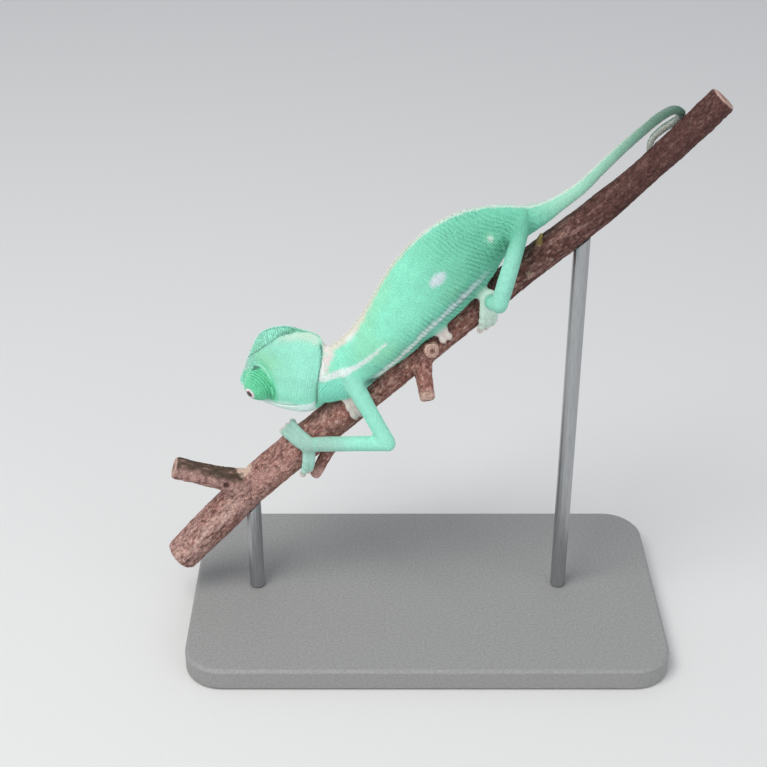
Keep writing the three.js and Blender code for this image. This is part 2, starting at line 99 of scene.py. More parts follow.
# Each foot on the twig: its palm's x and degrees round it, then its two bundles' ends: x, degrees, toes.
FEET = {
    "forefoot_left": ((-23.6, 76), (-25.6, -18, 3), (-28.0, 146, 2)),
    "forefoot_right": ((-12.6, -34), (-14.2, 98, 3), (-14.6, -118, 2)),
    "hindfoot_left": ((12.6, 72), (10.6, -18, 2), (8.6, 150, 3)),
    "hindfoot_right": ((4.6, -30), (3.6, 84, 2), (2.4, -112, 3)),
}
TWIG_STATIONS = 600  # points on the twig's axis
TWIG_ROUNDS = 160  # of smoothing along it, which round its bends
TOE_PITCH = 1.24  # between the middles of two toes of a bundle, most of the way out
TOE_ROOT = 1.0  # a toe's radius at the palm
TOE_TIP = 0.8  # and at its end
TOE_CLEAR = 0.36  # between a toe and the bark
WRIST_RADIUS = 1.5
CLAW_RING = 0.16  # a claw's pole in the CAD has all its neighbours nearer than this
CLAW_LENGTH = 1.15
# Each side shoot of the twig: root, end, radius and kind; a cut end shows its rings, and a bud tapers.
SHOOTS = (
    ((-39.0, 0.2, 32.0), (-52.2, -1.6, 36.9), 2.35, "cut"),
    ((-19.4, 1.4, 40.9), (-23.2, 0.3, 34.1), 1.2, "bud"),
    ((-1.6, 1.0, 62.0), (-0.2, -4.2, 54.6), 1.6, "cut"),
    ((0.0, 1.6, 63.8), (0.5, -3.9, 65.6), 1.6, "cut"),
    ((19.6, 1.2, 82.5), (20.9, -1.0, 89.2), 0.8, "bud"),
)
# The middle of each wrist or ankle.
WRISTS = {
    "forefoot_left": (-21.0, -4.8, 44.6),
    "forefoot_right": (-14.2, 7.0, 55.3),
    "hindfoot_left": (11.7, -5.2, 76.8),
    "hindfoot_right": (3.2, 5.9, 71.2),
}

EYES = ("eye_left", "eye_right")
STAND = ("stand_base", "stand_rod_lower", "stand_rod_upper")
FLESH = [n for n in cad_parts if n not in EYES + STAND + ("perch",)]


# ---- arrays ----
def unit(vectors):
    """The vectors at a length of 1."""
    return vectors / np.maximum(np.linalg.norm(vectors, axis=-1, keepdims=True), 1e-12)


def ramp(values, low, high):
    """0 up to low, 1 from high, and a smooth step between."""
    t = np.clip((values - low) / (high - low), 0, 1)
    return t * t * (3 - 2 * t)


def between(values, rise, full, fall, gone):
    """0 up to rise, 1 from full to fall, and 0 again from gone."""
    return ramp(values, rise, full) * (1 - ramp(values, fall, gone))


def bell(values, width):
    """1 at 0, falling smoothly on both sides; 0.37 at the width."""
    return np.exp(-np.square(values / width))


def mix(first, second, share):
    """Values or colours drawn from the first towards the second by a share for each place."""
    share = np.asarray(share)[..., None]
    return first * (1 - share) + np.asarray(second) * share


def scatter(cells, seed):
    """A number from -1 to 1 for each row of whole numbers, always the same for the same row."""
    total = (cells * np.array([73856093, 19349663, 83492791])).sum(-1) + seed * 2654435761
    total = (total ^ (total >> 13)) * 1274126177 & 0xFFFFFFFF
    total = (total ^ (total >> 16)) * 2246822519 & 0xFFFFFFFF
    return ((total ^ (total >> 15)) & 0xFFFFFF) / float(0x7FFFFF) - 1


def lumps(points, size, seed):
    """Smooth noise from about -1 to 1 with lumps `size` across."""
    places = points / size + 0.37 * seed
    cell = np.floor(places).astype(np.int64)
    t = places - cell
    t = t * t * (3 - 2 * t)
    total = np.zeros(len(points))
    for corner in range(8):
        step = np.array([corner & 1, corner >> 1 & 1, corner >> 2 & 1])
        share = np.where(step, t, 1 - t).prod(1)
        total += share * scatter(cell + step, seed)
    return total


def close_pairs(points, reach):
    """Every two points nearer to each other than reach, and their distances."""
    cell = np.floor(points / reach).astype(np.int64)
    cell -= cell.min(0) - 1
    size = cell.max(0) + 2
    key = (cell[:, 0] * size[1] + cell[:, 1]) * size[2] + cell[:, 2]
    order = np.argsort(key, kind="stable")
    line = key[order]
    found = []
    steps = [(x, y, z) for x in (-1, 0, 1) for y in (-1, 0, 1) for z in (-1, 0, 1)]
    for x, y, z in steps[13:]:
        other = key + (x * size[1] + y) * size[2] + z
        low = np.searchsorted(line, other, "left")
        count = np.searchsorted(line, other, "right") - low
        first = np.repeat(np.arange(len(points)), count)
        shift = np.repeat(low - (np.cumsum(count) - count), count)
        second = order[shift + np.arange(count.sum())]
        apart = np.linalg.norm(points[first] - points[second], axis=1)
        keep = apart < reach
        if (x, y, z) == (0, 0, 0):
            keep &= first < second
        found.append(np.column_stack([first[keep], second[keep], apart[keep]]))
    made = np.vstack(found)
    return made[:, 0].astype(int), made[:, 1].astype(int), made[:, 2]


def summed(index, vectors, count):
    """The sums of the vectors that share an index, for each index below count."""
    return np.stack([np.bincount(index, vectors[:, k], count) for k in range(vectors.shape[1])], 1)


def turns(count):
    """Angles at even steps once round."""
    return 2 * np.pi * np.arange(count) / count


def long_axis(points):
    """The middle of a cloud of points and the direction in which it is longest."""
    middle = points.mean(0)
    return middle, np.linalg.eigh(np.cov((points - middle).T))[1][:, -1]


# ---- meshes ----
def read_all(items, field, width, kind):
    """One field of all of a mesh's vertices, corners or triangles, as rows of `width` numbers."""
    values = np.empty(len(items) * width, kind)
    items.foreach_get(field, values)
    return values.reshape(-1, width)


def welded(node):
    """A CAD node's vertices and triangles, with the corners that share a place made one."""
    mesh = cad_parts[node].data
    mesh.calc_loop_triangles()
    places = read_all(mesh.vertices, "co", 3, np.float32)
    corners = read_all(mesh.loop_triangles, "vertices", 3, np.int32)
    keys = np.round(places.astype(float) / MM, 4)
    points, same = np.unique(keys, axis=0, return_inverse=True)
    triangles = same.reshape(-1)[corners]
    distinct = (triangles != np.roll(triangles, 1, axis=1)).all(1)
    return points, triangles[distinct]


def corners_of(points, triangles):
    """The places of the triangles' first, second and third corners."""
    return (points[triangles[:, i]] for i in range(3))


def point_normals(points, triangles):
    """The outward direction at each point of a surface."""
    a, b, c = corners_of(points, triangles)
    facing = np.cross(b - a, c - a)
    return unit(sum(summed(triangles[:, i], facing, len(points)) for i in range(3)))


def put_in_scene(name, data):
    """An object of the scene with this mesh, camera or light."""
    thing = bpy.data.objects.new(name, data)
    bpy.context.scene.collection.objects.link(thing)
    return thing


def make_mesh(name, points, faces):
    """A smooth mesh object from points in millimetres and rows of faces, all with as many corners."""
    mesh = bpy.data.meshes.new(name)
    count, corners = faces.shape
    mesh.vertices.add(len(points))
    mesh.vertices.foreach_set("co", (points * MM).astype(np.float32).ravel())
    mesh.loops.add(count * corners)
    mesh.loops.foreach_set("vertex_index", faces.astype(np.int32).ravel())
    mesh.polygons.add(count)
    mesh.polygons.foreach_set("loop_start", np.arange(0, count * corners, corners, dtype=np.int32))
    mesh.update(calc_edges=True)
    mesh.polygons.foreach_set("use_smooth", np.full(count, True))
    return put_in_scene(name, mesh)


def finished(thing):
    """The points, in millimetres, and faces of an object's mesh with its modifiers on; the object goes."""
    solid = thing.evaluated_get(bpy.context.evaluated_depsgraph_get()).to_mesh()
    places = read_all(solid.vertices, "co", 3, np.float32)
    sides = len(solid.loops) // len(solid.polygons)
    corners = read_all(solid.loops, "vertex_index", 1, np.int32)
    bpy.data.objects.remove(thing)
    return places.astype(float) / MM, corners.reshape(-1, sides)


def remeshed(points, triangles, voxel):
    """One closed surface of even quads round everything that the triangles enclose."""
    rough = make_mesh("rough", points, triangles)
    modifier = rough.modifiers.new("remesh", "REMESH")
    modifier.mode = "VOXEL"
    modifier.voxel_size = voxel * MM
    return finished(rough)


def thinned(points, triangles, count, keep):
    """The surface with about `count` triangles, larger where keep is 0 than where it is 1."""
    fine = make_mesh("fine", points, triangles)
    group = fine.vertex_groups.new(name="thin")
    levels = 5
    for level in range(levels + 1):
        chosen = np.nonzero(np.round((1 - keep) * levels) == level)[0]
        group.add(chosen.tolist(), 0.5 * level / levels, "REPLACE")
    modifier = fine.modifiers.new("thin", "DECIMATE")
    modifier.ratio = count / len(triangles)
    modifier.use_collapse_triangulate = True
    modifier.vertex_group = group.name
    modifier.vertex_group_factor = 1.0
    return finished(fine)


def halves(quads):
    """The two triangles of each quad."""
    return np.vstack([quads[:, [0, 1, 2]], quads[:, [0, 2, 3]]])


def edges_of(faces):
    """The pairs of points that an edge joins, each once."""
    sides = faces.shape[1]
    pairs = np.vstack([faces[:, [i, (i + 1) % sides]] for i in range(sides)]).astype(np.int64)
    size = pairs.max() + 1
    keys = np.unique(pairs.min(1) * size + pairs.max(1))
    return np.stack([keys // size, keys % size], 1)


class Net:
    """The neighbours of each point along the edges, for smoothing values over a surface."""

    def __init__(self, faces):
        edges = edges_of(faces)
        both = np.vstack([edges, edges[:, ::-1]])
        both = both[np.argsort(both[:, 0], kind="stable")]
        self.shared = np.bincount(both[:, 0])
        count = len(self.shared)
        rank = np.arange(len(both)) - np.repeat(np.cumsum(self.shared) - self.shared, self.shared)
        self.near = np.full((self.shared.max(), count), count)
        self.near[rank, both[:, 0]] = both[:, 1]

    def diffused(self, values, rounds, weight=1.0):
        """Values at the points, each drawn towards the mean of its neighbours; weight says how strongly."""
        pull = 0.5 * weight / self.shared
        keep = 1 - 0.5 * weight
        made = []
        for column in values.reshape(len(values), -1).T.astype(float):
            for _ in range(rounds):
                padded = np.append(column, 0)
                column = keep * column + pull * sum(padded[near] for near in self.near)
            made.append(column)
        return np.stack(made, 1).reshape(values.shape)

    def evened(self, points, rounds, weight):
        """The points smoothed with no loss of girth: what is taken off, smoothed alike, is put back."""
        smooth = self.diffused(points, rounds, weight)
        return smooth + self.diffused(points - smooth, rounds, weight)


def tree_of(points, faces):
    """A surface as a tree that finds its nearest places and where rays meet it."""
    return BVHTree.FromPolygons(points.tolist(), faces.tolist())


def put_on(tree, places):
    """The nearest points of a surface to the places."""
    return np.array([tree.find_nearest(Vector(p))[0] for p in places])


def ball(centre, radius):
    """A small closed ball of triangles."""
    rings, sides = 8, 12
    down = np.pi * np.arange(1, rings) / rings
    turn = turns(sides)
    ring = np.stack([np.outer(np.sin(down), np.cos(turn)), np.outer(np.sin(down), np.sin(turn)),
                     np.outer(np.cos(down), np.ones(sides))], 2).reshape(-1, 3)
    points = np.vstack([ring, [[0, 0, 1], [0, 0, -1]]])
    return np.asarray(centre) + radius * points, closed_rings(rings - 1, sides)


def closed_rings(rings, sides):
    """Triangles of a closed tube with a pole past each end; they face outward when its rings of points run
    counterclockwise as seen from beyond the first pole."""
    k = np.arange(sides)
    after = (k + 1) % sides
    made = []
    for r in range(rings - 1):
        a, b, c, d = r * sides + k, r * sides + after, (r + 1) * sides + k, (r + 1) * sides + after
        made += [np.stack([a, c, d], 1), np.stack([a, d, b], 1)]
    first, last = rings * sides, rings * sides + 1
    end = (rings - 1) * sides
    made += [np.stack([np.full(sides, first), k, after], 1)]
    made += [np.stack([np.full(sides, last), end + after, end + k], 1)]
    return np.vstack(made)


# ---- places on the animal and the twig ----
def in_head(ahead, out, up):
    """World points from places in the head's own axes; out is to the animal's left."""
    ahead, out, up = np.broadcast_arrays(ahead, out, up)
    return HEAD_ORIGIN + ahead[..., None] * HEAD_AHEAD + out[..., None] * HEAD_LEFT + up[..., None] * UP


def head_axes(points):
    """Ahead, out to the animal's left, and up, in the head's own axes."""
    local = points - HEAD_ORIGIN
    return local @ HEAD_AHEAD, local @ HEAD_LEFT, local[:, 2]


def body_axes(points):
    """Along the body from head to tail, and high off it."""
    return points @ BODY_AXIS, points @ BODY_UP


def turret_middle(side):
    """The middle of the left (1) or right (-1) eye turret."""
    return in_head(TURRET["ahead"], side * TURRET["out"], TURRET["up"])


def gaze(side):
    """The direction in which the left (1) or right (-1) eye looks."""
    ahead, out, up = GAZE
    return unit(ahead * HEAD_AHEAD + side * out * HEAD_LEFT + up * UP)


def from_gaze(points, side):
    """Distance from the turret's middle, and angle from the gaze."""
    local = points - turret_middle(side)
    far = np.linalg.norm(local, axis=1)
    return far, np.arccos(np.clip(local @ gaze(side) / np.maximum(far, 1e-9), -1, 1))


def mouth_height(ahead):
    """The height of the line of the mouth, in the head's axes."""
    return np.interp(ahead, *MOUTH.T)


def crest_height(ahead):
    """The height of the lateral crest, in the head's axes."""
    return np.interp(ahead, CREST[:, 0], CREST[:, 2])


def past_margin(points):
    """How far a place lies ahead of the head's rear margin."""
    ahead, _, up = head_axes(points)
    return ahead - np.interp(up, *MARGIN.T)


class Twig:
    """The twig's axis as a fine polyline, to tell places by distance along it, angle round it and height."""

    def __init__(self):
        stations = np.linspace(0, len(TWIG) - 1, TWIG_STATIONS)
        self.line = np.stack([np.interp(stations, np.arange(len(TWIG)), TWIG[:, k]) for k in range(4)], 1)
        smooth = np.array([0.25, 0.5, 0.25])
        for _ in range(TWIG_ROUNDS):
            middle = sum(w * self.line[i:len(self.line) - 2 + i] for i, w in enumerate(smooth))
            self.line[1:-1] = middle
        steps = np.diff(self.line[:, :3], axis=0)
        self.run = np.concatenate([[0], np.cumsum(np.linalg.norm(steps, axis=1))])
        self.way = unit(np.gradient(self.line[:, :3], axis=0))

    def around(self, points):
        """Along, degrees (0 is on top, 90 towards -Y) and distance from the axis."""
        index = np.clip(np.searchsorted(self.run, self.roughly(points)), 0, len(self.run) - 1)
        for _ in range(3):
            gap = ((points - self.line[index, :3]) * self.way[index]).sum(1)
            index = np.clip(np.searchsorted(self.run, self.run[index] + gap), 0, len(self.run) - 1)
        way = self.way[index]
        local = points - self.line[index, :3]
        along = self.run[index] + (local * way).sum(1)
        up = unit(UP - way * way[:, 2:])
        aside = np.cross(way, up)
        degrees = np.degrees(np.arctan2((local * aside).sum(1), (local * up).sum(1)))
        far = np.hypot((local * aside).sum(1), (local * up).sum(1))
        return along, degrees, far

    def beside(self, along, degrees, clear):
        """A point at a height above the bark."""
        centre = np.array([np.interp(along, self.run, self.line[:, k]) for k in range(4)])
        way = unit(np.array([np.interp(along, self.run, self.way[:, k]) for k in range(3)]))
        up = unit(UP - way * way[2])
        angle = math.radians(degrees)
        outward = math.cos(angle) * up + math.sin(angle) * np.cross(way, up)
        return centre[:3] + (centre[3] + clear) * outward

    def roughly(self, points):
        """About how far along the twig the points lie."""
        return np.interp(points @ BODY_AXIS, self.line[:, :3] @ BODY_AXIS, self.run)

    def at_x(self, x):
        """Distance along, and radius, where the twig passes a given x."""
        return np.interp(x, self.line[:, 0], self.run), np.interp(x, self.line[:, 0], self.line[:, 3])


twig = Twig()


def turned(degrees, middle):
    """Angles measured from a middle one, from -180 to 180."""
    return (degrees - middle + 180) % 360 - 180


def bundle_way(foot, bundle):
    """Where a bundle of toes starts, the radius at which it curls, and its run along and round the twig."""
    x, middle = FEET[foot][0]
    end_x, end_degrees, _ = bundle
    start, radius = twig.at_x(x)
    reach = radius + TOE_ROOT
    return start, reach, twig.at_x(end_x)[0] - start, math.radians(end_degrees - middle) * reach


def toe_spread(share):
    """How wide the toes of a bundle stand apart at a share of their length, in their pitches."""
    return 0.72 + 0.34 * share


def toe_line(foot, bundle, row):
    """Points and radii down the middle of a toe, from the palm to its end."""
    _, middle = FEET[foot][0]
    _, end_degrees, _ = bundle
    start, reach, run, turn = bundle_way(foot, bundle)
    length = math.hypot(run, turn)
    made = []
    for share in np.linspace(0.1, 1.0, 14):
        spread = -row * TOE_PITCH * toe_spread(share) / length
        along = start + run * share + spread * turn
        degrees = middle + (end_degrees - middle) * share - math.degrees(spread * run / reach)
        thick = TOE_ROOT + (TOE_TIP - TOE_ROOT) * share
        made.append((twig.beside(along, degrees, TOE_CLEAR + thick), thick))
    return made


def toes_of(foot):
    """The lines of all the toes of a foot."""
    for bundle in FEET[foot][1:]:
        for toe in range(bundle[2]):
            yield toe_line(foot, bundle, toe - (bundle[2] - 1) / 2)


def toe_places(points, foot, bundle):
    """Each point's share of the way from the palm to the toes' tips, its place across them in toes, and the
    bundle's length."""
    _, middle = FEET[foot][0]
    start, reach, *way = bundle_way(foot, bundle)
    length = np.hypot(*way)
    way = np.array(way) / length
    along, degrees, _ = twig.around(points)
    place = np.stack([along - start, np.radians(turned(degrees, middle)) * reach], 1)
    share = place @ way / length
    across = place @ np.array([-way[1], way[0]])
    return share, across / (TOE_PITCH * toe_spread(np.clip(share, 0, 1.2))), length


# ---- flesh: the CAD solids joined ----
def claws_of(foot, points, triangles):
    """The tips and directions of the claws of a foot: past each toe's end, a tiny ring with a pole."""
    pairs = edges_of(triangles)
    apart = np.linalg.norm(points[pairs[:, 0]] - points[pairs[:, 1]], axis=1)
    farthest = np.zeros(len(points))
    np.maximum.at(farthest, pairs[:, 0], apart)
    np.maximum.at(farthest, pairs[:, 1], apart)
    both = np.vstack([pairs, pairs[:, ::-1]])
    ring = summed(both[:, 0], points[both[:, 1]], len(points))
    ring /= np.bincount(both[:, 0], minlength=len(points))[:, None]
    poles = np.nonzero((farthest > 0) & (farthest < CLAW_RING))[0]
    chosen = []
    for line in toes_of(foot):
        (before, _), (end, _) = line[-2:]
        expected = end + CLAW_LENGTH * unit(end - before)
        chosen.append(poles[np.argmin(np.linalg.norm(points[poles] - expected, axis=1))])
    return points[chosen], unit(points[chosen] - ring[chosen])


def without_claws(points, tips, ways):
    """The foot with each claw drawn back into the end of its toe."""
    made = points.copy()
    for tip, way in zip(tips, ways):
        behind = (tip - made) @ way
        aside = np.linalg.norm(tip - made - behind[:, None] * way, axis=1)
        inside = (behind > -0.01) & (behind < 0.8 * CLAW_LENGTH) & (aside < 0.3)
        made[inside] = tip - CLAW_LENGTH * way
    return made


KINDS = ("foot", "leg", "tail", "eye", "head", "neck", "trunk")
SOFTNESS = {"foot": 0.14, "leg": 0.35, "tail": 0.3, "eye": 0.2, "head": 0.45, "neck": 0.9, "trunk": 1.0}


def kind_of(node):
    """The index of the kind of part that a node is."""
    return next(k for k, kind in enumerate(KINDS) if kind in node)


def are_kinds(kind, wanted):
    """Which of the indices are of the wanted kinds."""
    return np.isin(kind, [KINDS.index(k) for k in wanted])


class Flesh:
    """The CAD solids of flesh as one soup of triangles that knows which node each triangle is from."""

    def __init__(self):
        self.nodes = sorted(FLESH) + list(EYES)
        self.kinds = np.array([kind_of(n) for n in self.nodes])
        self.claws = {}
        soup = []
        swollen = []
        triangles = []
        owner = []
        start = 0
        for index, node in enumerate(self.nodes):
            points, faces = welded(node)
            if node in FEET:
                self.claws[node] = claws_of(node, points, faces)
                points = without_claws(points, *self.claws[node])
            soup.append(points)
            swollen.append(points + CLOSE * point_normals(points, faces))
            triangles.append(faces + start)
            owner.append(np.full(len(faces), index))
            start += len(points)
        self.tree = tree_of(np.vstack(soup), np.vstack(triangles))
        self.owner = np.concatenate(owner)
        for foot, wrist in WRISTS.items():
            palm = soup[self.nodes.index(foot)]
            near = palm[np.argsort(np.linalg.norm(palm - wrist, axis=1))[:10]].mean(0)
            balls = [(mix(np.asarray(wrist), near, t), WRIST_RADIUS + 0.2 * t) for t in (0.2, 0.5, 0.8)]
            for line in toes_of(foot):
                balls += line
            for centre, radius in balls:
                points, faces = ball(centre, radius + CLOSE)
                swollen.append(points)
                triangles.append(faces + start)
                start += len(points)
        self.swollen = np.vstack(swollen)
        self.triangles = np.vstack(triangles)

    def named(self, word):
        """The nodes with a word in their names."""
        return [node for node in self.nodes if word in node]

    def nearest_node(self, places):
        """For each place, the index of the node whose surface is nearest."""
        found = [self.tree.find_nearest(Vector(p))[2] for p in places]
        return self.owner[found]


# ---- sculpting ----
class Body:
    """A surface of the animal with what is known at each of its points."""

    def __init__(self, points, triangles):
        self.points = points
        self.triangles = triangles
        self.net = Net(triangles)
        self.node = flesh.nearest_node(points)
        self.kind = flesh.kinds[self.node]

    def share(self, *kinds, rounds=6):
        """How much each point belongs to some kinds of part, from 0 to 1, softened over their border."""
        return self.net.diffused(are_kinds(self.kind, kinds), rounds)

    def share_of(self, word, rounds):
        """The same for the nodes with a word in their names."""
        chosen = np.isin(self.node, [flesh.nodes.index(n) for n in flesh.named(word)])
        return self.net.diffused(chosen, rounds)

    def normals(self):
        """The outward direction at each point."""
        return point_normals(self.points, self.triangles)

    def raise_by(self, amount):
        """Moves each point outward by its amount."""
        self.points = self.points + np.asarray(amount)[:, None] * self.normals()


def to_line(points, line):
    """Distance from each point to a polyline."""
    nearest = np.full(len(points), np.inf)
    for a, b in zip(line[:-1], line[1:]):
        way = b - a
        share = np.clip((points - a) @ way / (way @ way), 0, 1)
        nearest = np.minimum(nearest, np.linalg.norm(points - a - share[:, None] * way, axis=1))
    return nearest


def turret_radius(angle, rearward):
    """The turret's surface from its middle: a rim of lid round the eye, then ring folds, deepest behind."""
    lid = 0.16 * bell(angle - RIM_ANGLE - 0.03, 0.055)
    fade = ramp(angle, 0.42, 0.8) * (1 - ramp(angle, 1.75, 1.95))
    phase = 2 * np.pi * angle * TURRET["radius"] / FOLD_PITCH
    folds = (0.07 + 0.12 * rearward) * fade * (0.5 - 0.5 * np.cos(phase))
    sunk = 1.15 * (1 - ramp(angle, RIM_ANGLE - 0.12, RIM_ANGLE + 0.01))
    cone = 0.1 * (1 - ramp(angle, 0.2, 0.75))
    return TURRET["radius"] - 0.1 + cone + lid - folds - sunk


def round_turret(points, side):
    """Distance from the turret's axis, and 1 on the skin behind and above it, where ring folds run on."""
    far, angle = from_gaze(points, side)
    _, out, _ = head_axes(points)
    ways = (points - turret_middle(side)) / far[:, None]
    rear = ramp(ways @ unit(0.5 * UP - HEAD_AHEAD), 0.15, 0.65) * (1 - ramp(angle, 1.85, 2.1))
    return far * np.sin(angle), rear * (side * out > 0)


def sculpt_turrets(body):
    """Draws the flesh of both turrets onto a ball with its lids and ring folds."""
    turret = ramp(body.share("eye", rounds=5), 0.3, 0.85)
    _, out, _ = head_axes(body.points)
    for side in (1, -1):
        mine = (turret > 0) & (side * out > 0)
        points = body.points[mine]
        far, angle = from_gaze(points, side)
        middle = turret_middle(side)
        ways = (points - middle) / far[:, None]
        rearward = ramp(ways @ unit(UP - HEAD_AHEAD), -0.25, 0.6)
        target = middle + ways * turret_radius(angle, rearward)[:, None]
        body.points[mine] = mix(points, target, turret[mine])


def brow_slit(ahead, up):
    """Distance from the short crease over the turret, counted shorter along it than across."""
    return np.hypot((ahead - 14.5) / 5.5, up - 8.47 + 0.32 * (ahead - 14.5))


def nostril_from(ahead, up):
    """Distance from the nostril as seen from the side."""
    return np.hypot(ahead - NOSTRIL[0], up - NOSTRIL[1])


def sculpt_head(body):
    """The crests, the lips, the nostrils, the creases over the turrets and the snout's ripples."""
    ahead, out, up = head_axes(body.points)
    head = ramp(body.share("head", rounds=4), 0.25, 0.75)
    lift = np.zeros(len(body.points))
    for side in (1, -1):
        crest = in_head(CREST[:, 0], side * CREST[:, 1], CREST[:, 2])
        near = (head > 0) & (side * out > -0.5)
        lift[near] += 0.12 * bell(to_line(body.points[near], crest), 0.55)
    lift += 0.1 * bell(out, 0.3) * ramp(up, 12.5, 14.5)
    line = up - mouth_height(ahead)
    along = ramp(ahead, 3.2, 4.6)
    lift -= 0.2 * bell(line, 0.17) * along
    lift += 0.08 * (bell(line - 0.45, 0.25) + bell(line + 0.45, 0.25)) * along
    nostril = nostril_from(ahead, up)
    lift += (0.1 * bell(nostril, 0.75) - 0.4 * bell(nostril, 0.26)) * (np.abs(out) > 0.5)
    lift -= 0.22 * bell(brow_slit(ahead, up), 0.24) * ramp(np.abs(out), 1.5, 2.2)
    ripples = np.sin(2 * np.pi * (up + 0.35 * ahead) / 0.9)
    lift += 0.03 * ripples * ramp(ahead, 15, 16.5) * ramp(up, 5.5, 7)
    body.raise_by(lift * head)


def sculpt_borders(body):
    """The crease behind the head, and the ring folds in the skin behind the turrets."""
    past = past_margin(body.points)
    head = body.share("head", "neck", rounds=4) * ramp(head_axes(body.points)[2], 2.0, 4.5)
    lift = (0.02 * bell(past - 0.6, 0.42) - 0.3 * bell(past, 0.19) - 0.1 * bell(past + 0.7, 0.6)) * head
    lift *= 1 - bell(np.linalg.norm(body.points - in_head(0.4, 0.0, 16.6), axis=1), 1.9)
    for side in (1, -1):
        wide, rear = round_turret(body.points, side)
        rings = 0.16 * bell(wide - 3.95, 0.3) - 0.2 * bell(wide - 4.35, 0.2) + 0.05 * bell(wide - 4.7, 0.2)
        lift += (rings - 0.1 * bell(wide - 5.1, 0.2)) * rear * body.share("head", rounds=3)
    body.raise_by(lift)


def neck_wave(points):
    """The phase of the upright wrinkles that cross the neck."""
    return 2 * np.pi * (points @ np.array([0.93, 0.0, -0.37]) + 0.42 * lumps(points, 2.0, 3)) / NECK_PITCH


def flank_wave(points):
    """The phase of the fine wavy wrinkles down the flank, closer and steeper towards the groin."""
    along, high = body_axes(points)
    lean = 0.15 + 0.4 * ramp(along, 52, 74)
    return 2 * np.pi * (along + lean * (high - 56) + 0.55 * lumps(points, 2.6, 8)) / FLANK_PITCH


def flank_wrinkled(points):
    """How strong those wrinkles are: most low on the flank and towards the groin."""
    along, high = body_axes(points)
    low = 1 - ramp(high - flank_line(along), 1.0, 5.5)
    rear = between(along, 54, 66, 75, 80)
    patchy = 0.6 + 0.4 * lumps(points, 2.2, 9)
    return np.clip(low * ramp(along, 33, 38) + 0.8 * rear, 0, 1) * patchy


def waves(points, phase, pitch, seed):
    """Folds at even steps of a phase, made a little uneven."""
    return np.sin(2 * np.pi * (phase + 0.3 * lumps(points, 2.0, seed)) / pitch)


def thigh_crease(along, high):
    """Distance from the crease before the thigh, counted shorter along it than across."""
    return np.hypot((high - 55.2) / 2.6, along - 78.2 - 0.4 * (high - 55.2))


def sculpt_folds(body):
    """Wrinkles of neck, groin, armpit and flank, the flank's long fold and the crease before the thigh."""
    points = body.points
    along, high = body_axes(points)
    neck = body.share("neck", "trunk", rounds=10) * (1 - ramp(along, 29, 35)) * (1 - ramp(high, 56.5, 58.5))
    lift = 0.065 * np.sin(neck_wave(points)) * neck * ramp(-past_margin(points), 0.2, 1.2)
    groin = bell(along - 69.5, 3.6) * bell(high - 54.2, 3.0) * body.share("trunk", rounds=8)
    lift += 0.13 * waves(points, along - 0.35 * high, 1.15, 5) * groin
    armpit = bell(along - 34.5, 2.6) * bell(high - 51.5, 2.2) * body.share("trunk", "neck", rounds=8)
    lift += 0.1 * waves(points, along + 0.5 * high, 0.95, 6) * armpit
    line = high - flank_line(along)
    sides = body.share("trunk", rounds=8) * ramp(along, 30, 36) * (1 - ramp(along, 64, 69))
    lift += (0.1 * bell(line, 0.45) - 0.13 * bell(line + 0.85, 0.35)) * sides
    trunk = body.share("trunk", rounds=8)
    lift += 0.085 * np.sin(flank_wave(points)) * flank_wrinkled(points) * trunk
    lift -= 0.34 * bell(thigh_crease(along, high), 0.3) * ramp(np.abs(points[:, 1]), 0.8, 1.6)
    lift += 0.05 * lumps(points, 3.2, 7) * body.share("trunk", "neck", rounds=8)
    body.raise_by(lift)


def sculpt_feet(body):
    """Grooves between the toes and a swelling at each knuckle and tip."""
    lift = np.zeros(len(body.points))
    for foot, (_, *bundles) in FEET.items():
        mine = body.node == flesh.nodes.index(foot)
        points = body.points[mine]
        for bundle in bundles:
            share, row, length = toe_places(points, foot, bundle)
            toes = bundle[2]
            valley = np.abs(np.abs(row) - (0.5 if toes == 3 else 0.0)) * TOE_PITCH
            near = ramp(share, 0.3, 0.75) * (1 - ramp(np.abs(row), 0.5 * toes + 0.3, 0.5 * toes + 0.7))
            groove = -0.22 * bell(valley, 0.2) * near
            knuckle = 0.09 * np.cos(2 * np.pi * share * length / 1.7) * near * (1 - bell(valley, 0.4))
            lift[mine] += groove + knuckle
    body.raise_by(lift * body.share("foot", rounds=3))


def flank_line(along):
    """The height of the pale line low on the flank, from shoulder to groin."""
    return np.interp(along, *FLANK_LINE.T)


def make_body():
    """The animal's one surface, COAT inside the flesh of the CAD, with its folds and features."""
    points, quads = remeshed(flesh.swollen, flesh.triangles, VOXEL)
    body = Body(points, halves(quads))
    net = Net(quads)
    softness = net.diffused(np.array([SOFTNESS[KINDS[k]] for k in body.kind]), 16)
    body.points = net.evened(points, EVENING_ROUNDS, softness)
    inward = net.diffused(body.normals(), 3)
    body.points = body.points - (CLOSE + COAT) * inward
    sculpt_folds(body)
    sculpt_feet(body)
    sculpt_borders(body)
    occiput = bell(np.linalg.norm(body.points - in_head(*OCCIPUT), axis=1), 1.5)
    body.points = net.diffused(body.points, 70, occiput)
    sculpt_head(body)
    sculpt_turrets(body)
    keep = np.clip(body.share("head", "eye", "foot", rounds=10) + 0.35 * body.share("leg", "neck"), 0, 1)
    return Body(*thinned(body.points, body.triangles, SKIN_TRIANGLES, keep))


flesh = Flesh()
body = make_body()

tree = tree_of(body.points, body.triangles)


# ---- markings ----
def srgb(red, green, blue):
    """A colour as a screen shows it, 0 to 255, in linear light."""
    share = np.array([red, green, blue]) / 255
    return np.where(share <= 0.04045, share / 12.92, ((share + 0.055) / 1.055) ** 2.4)


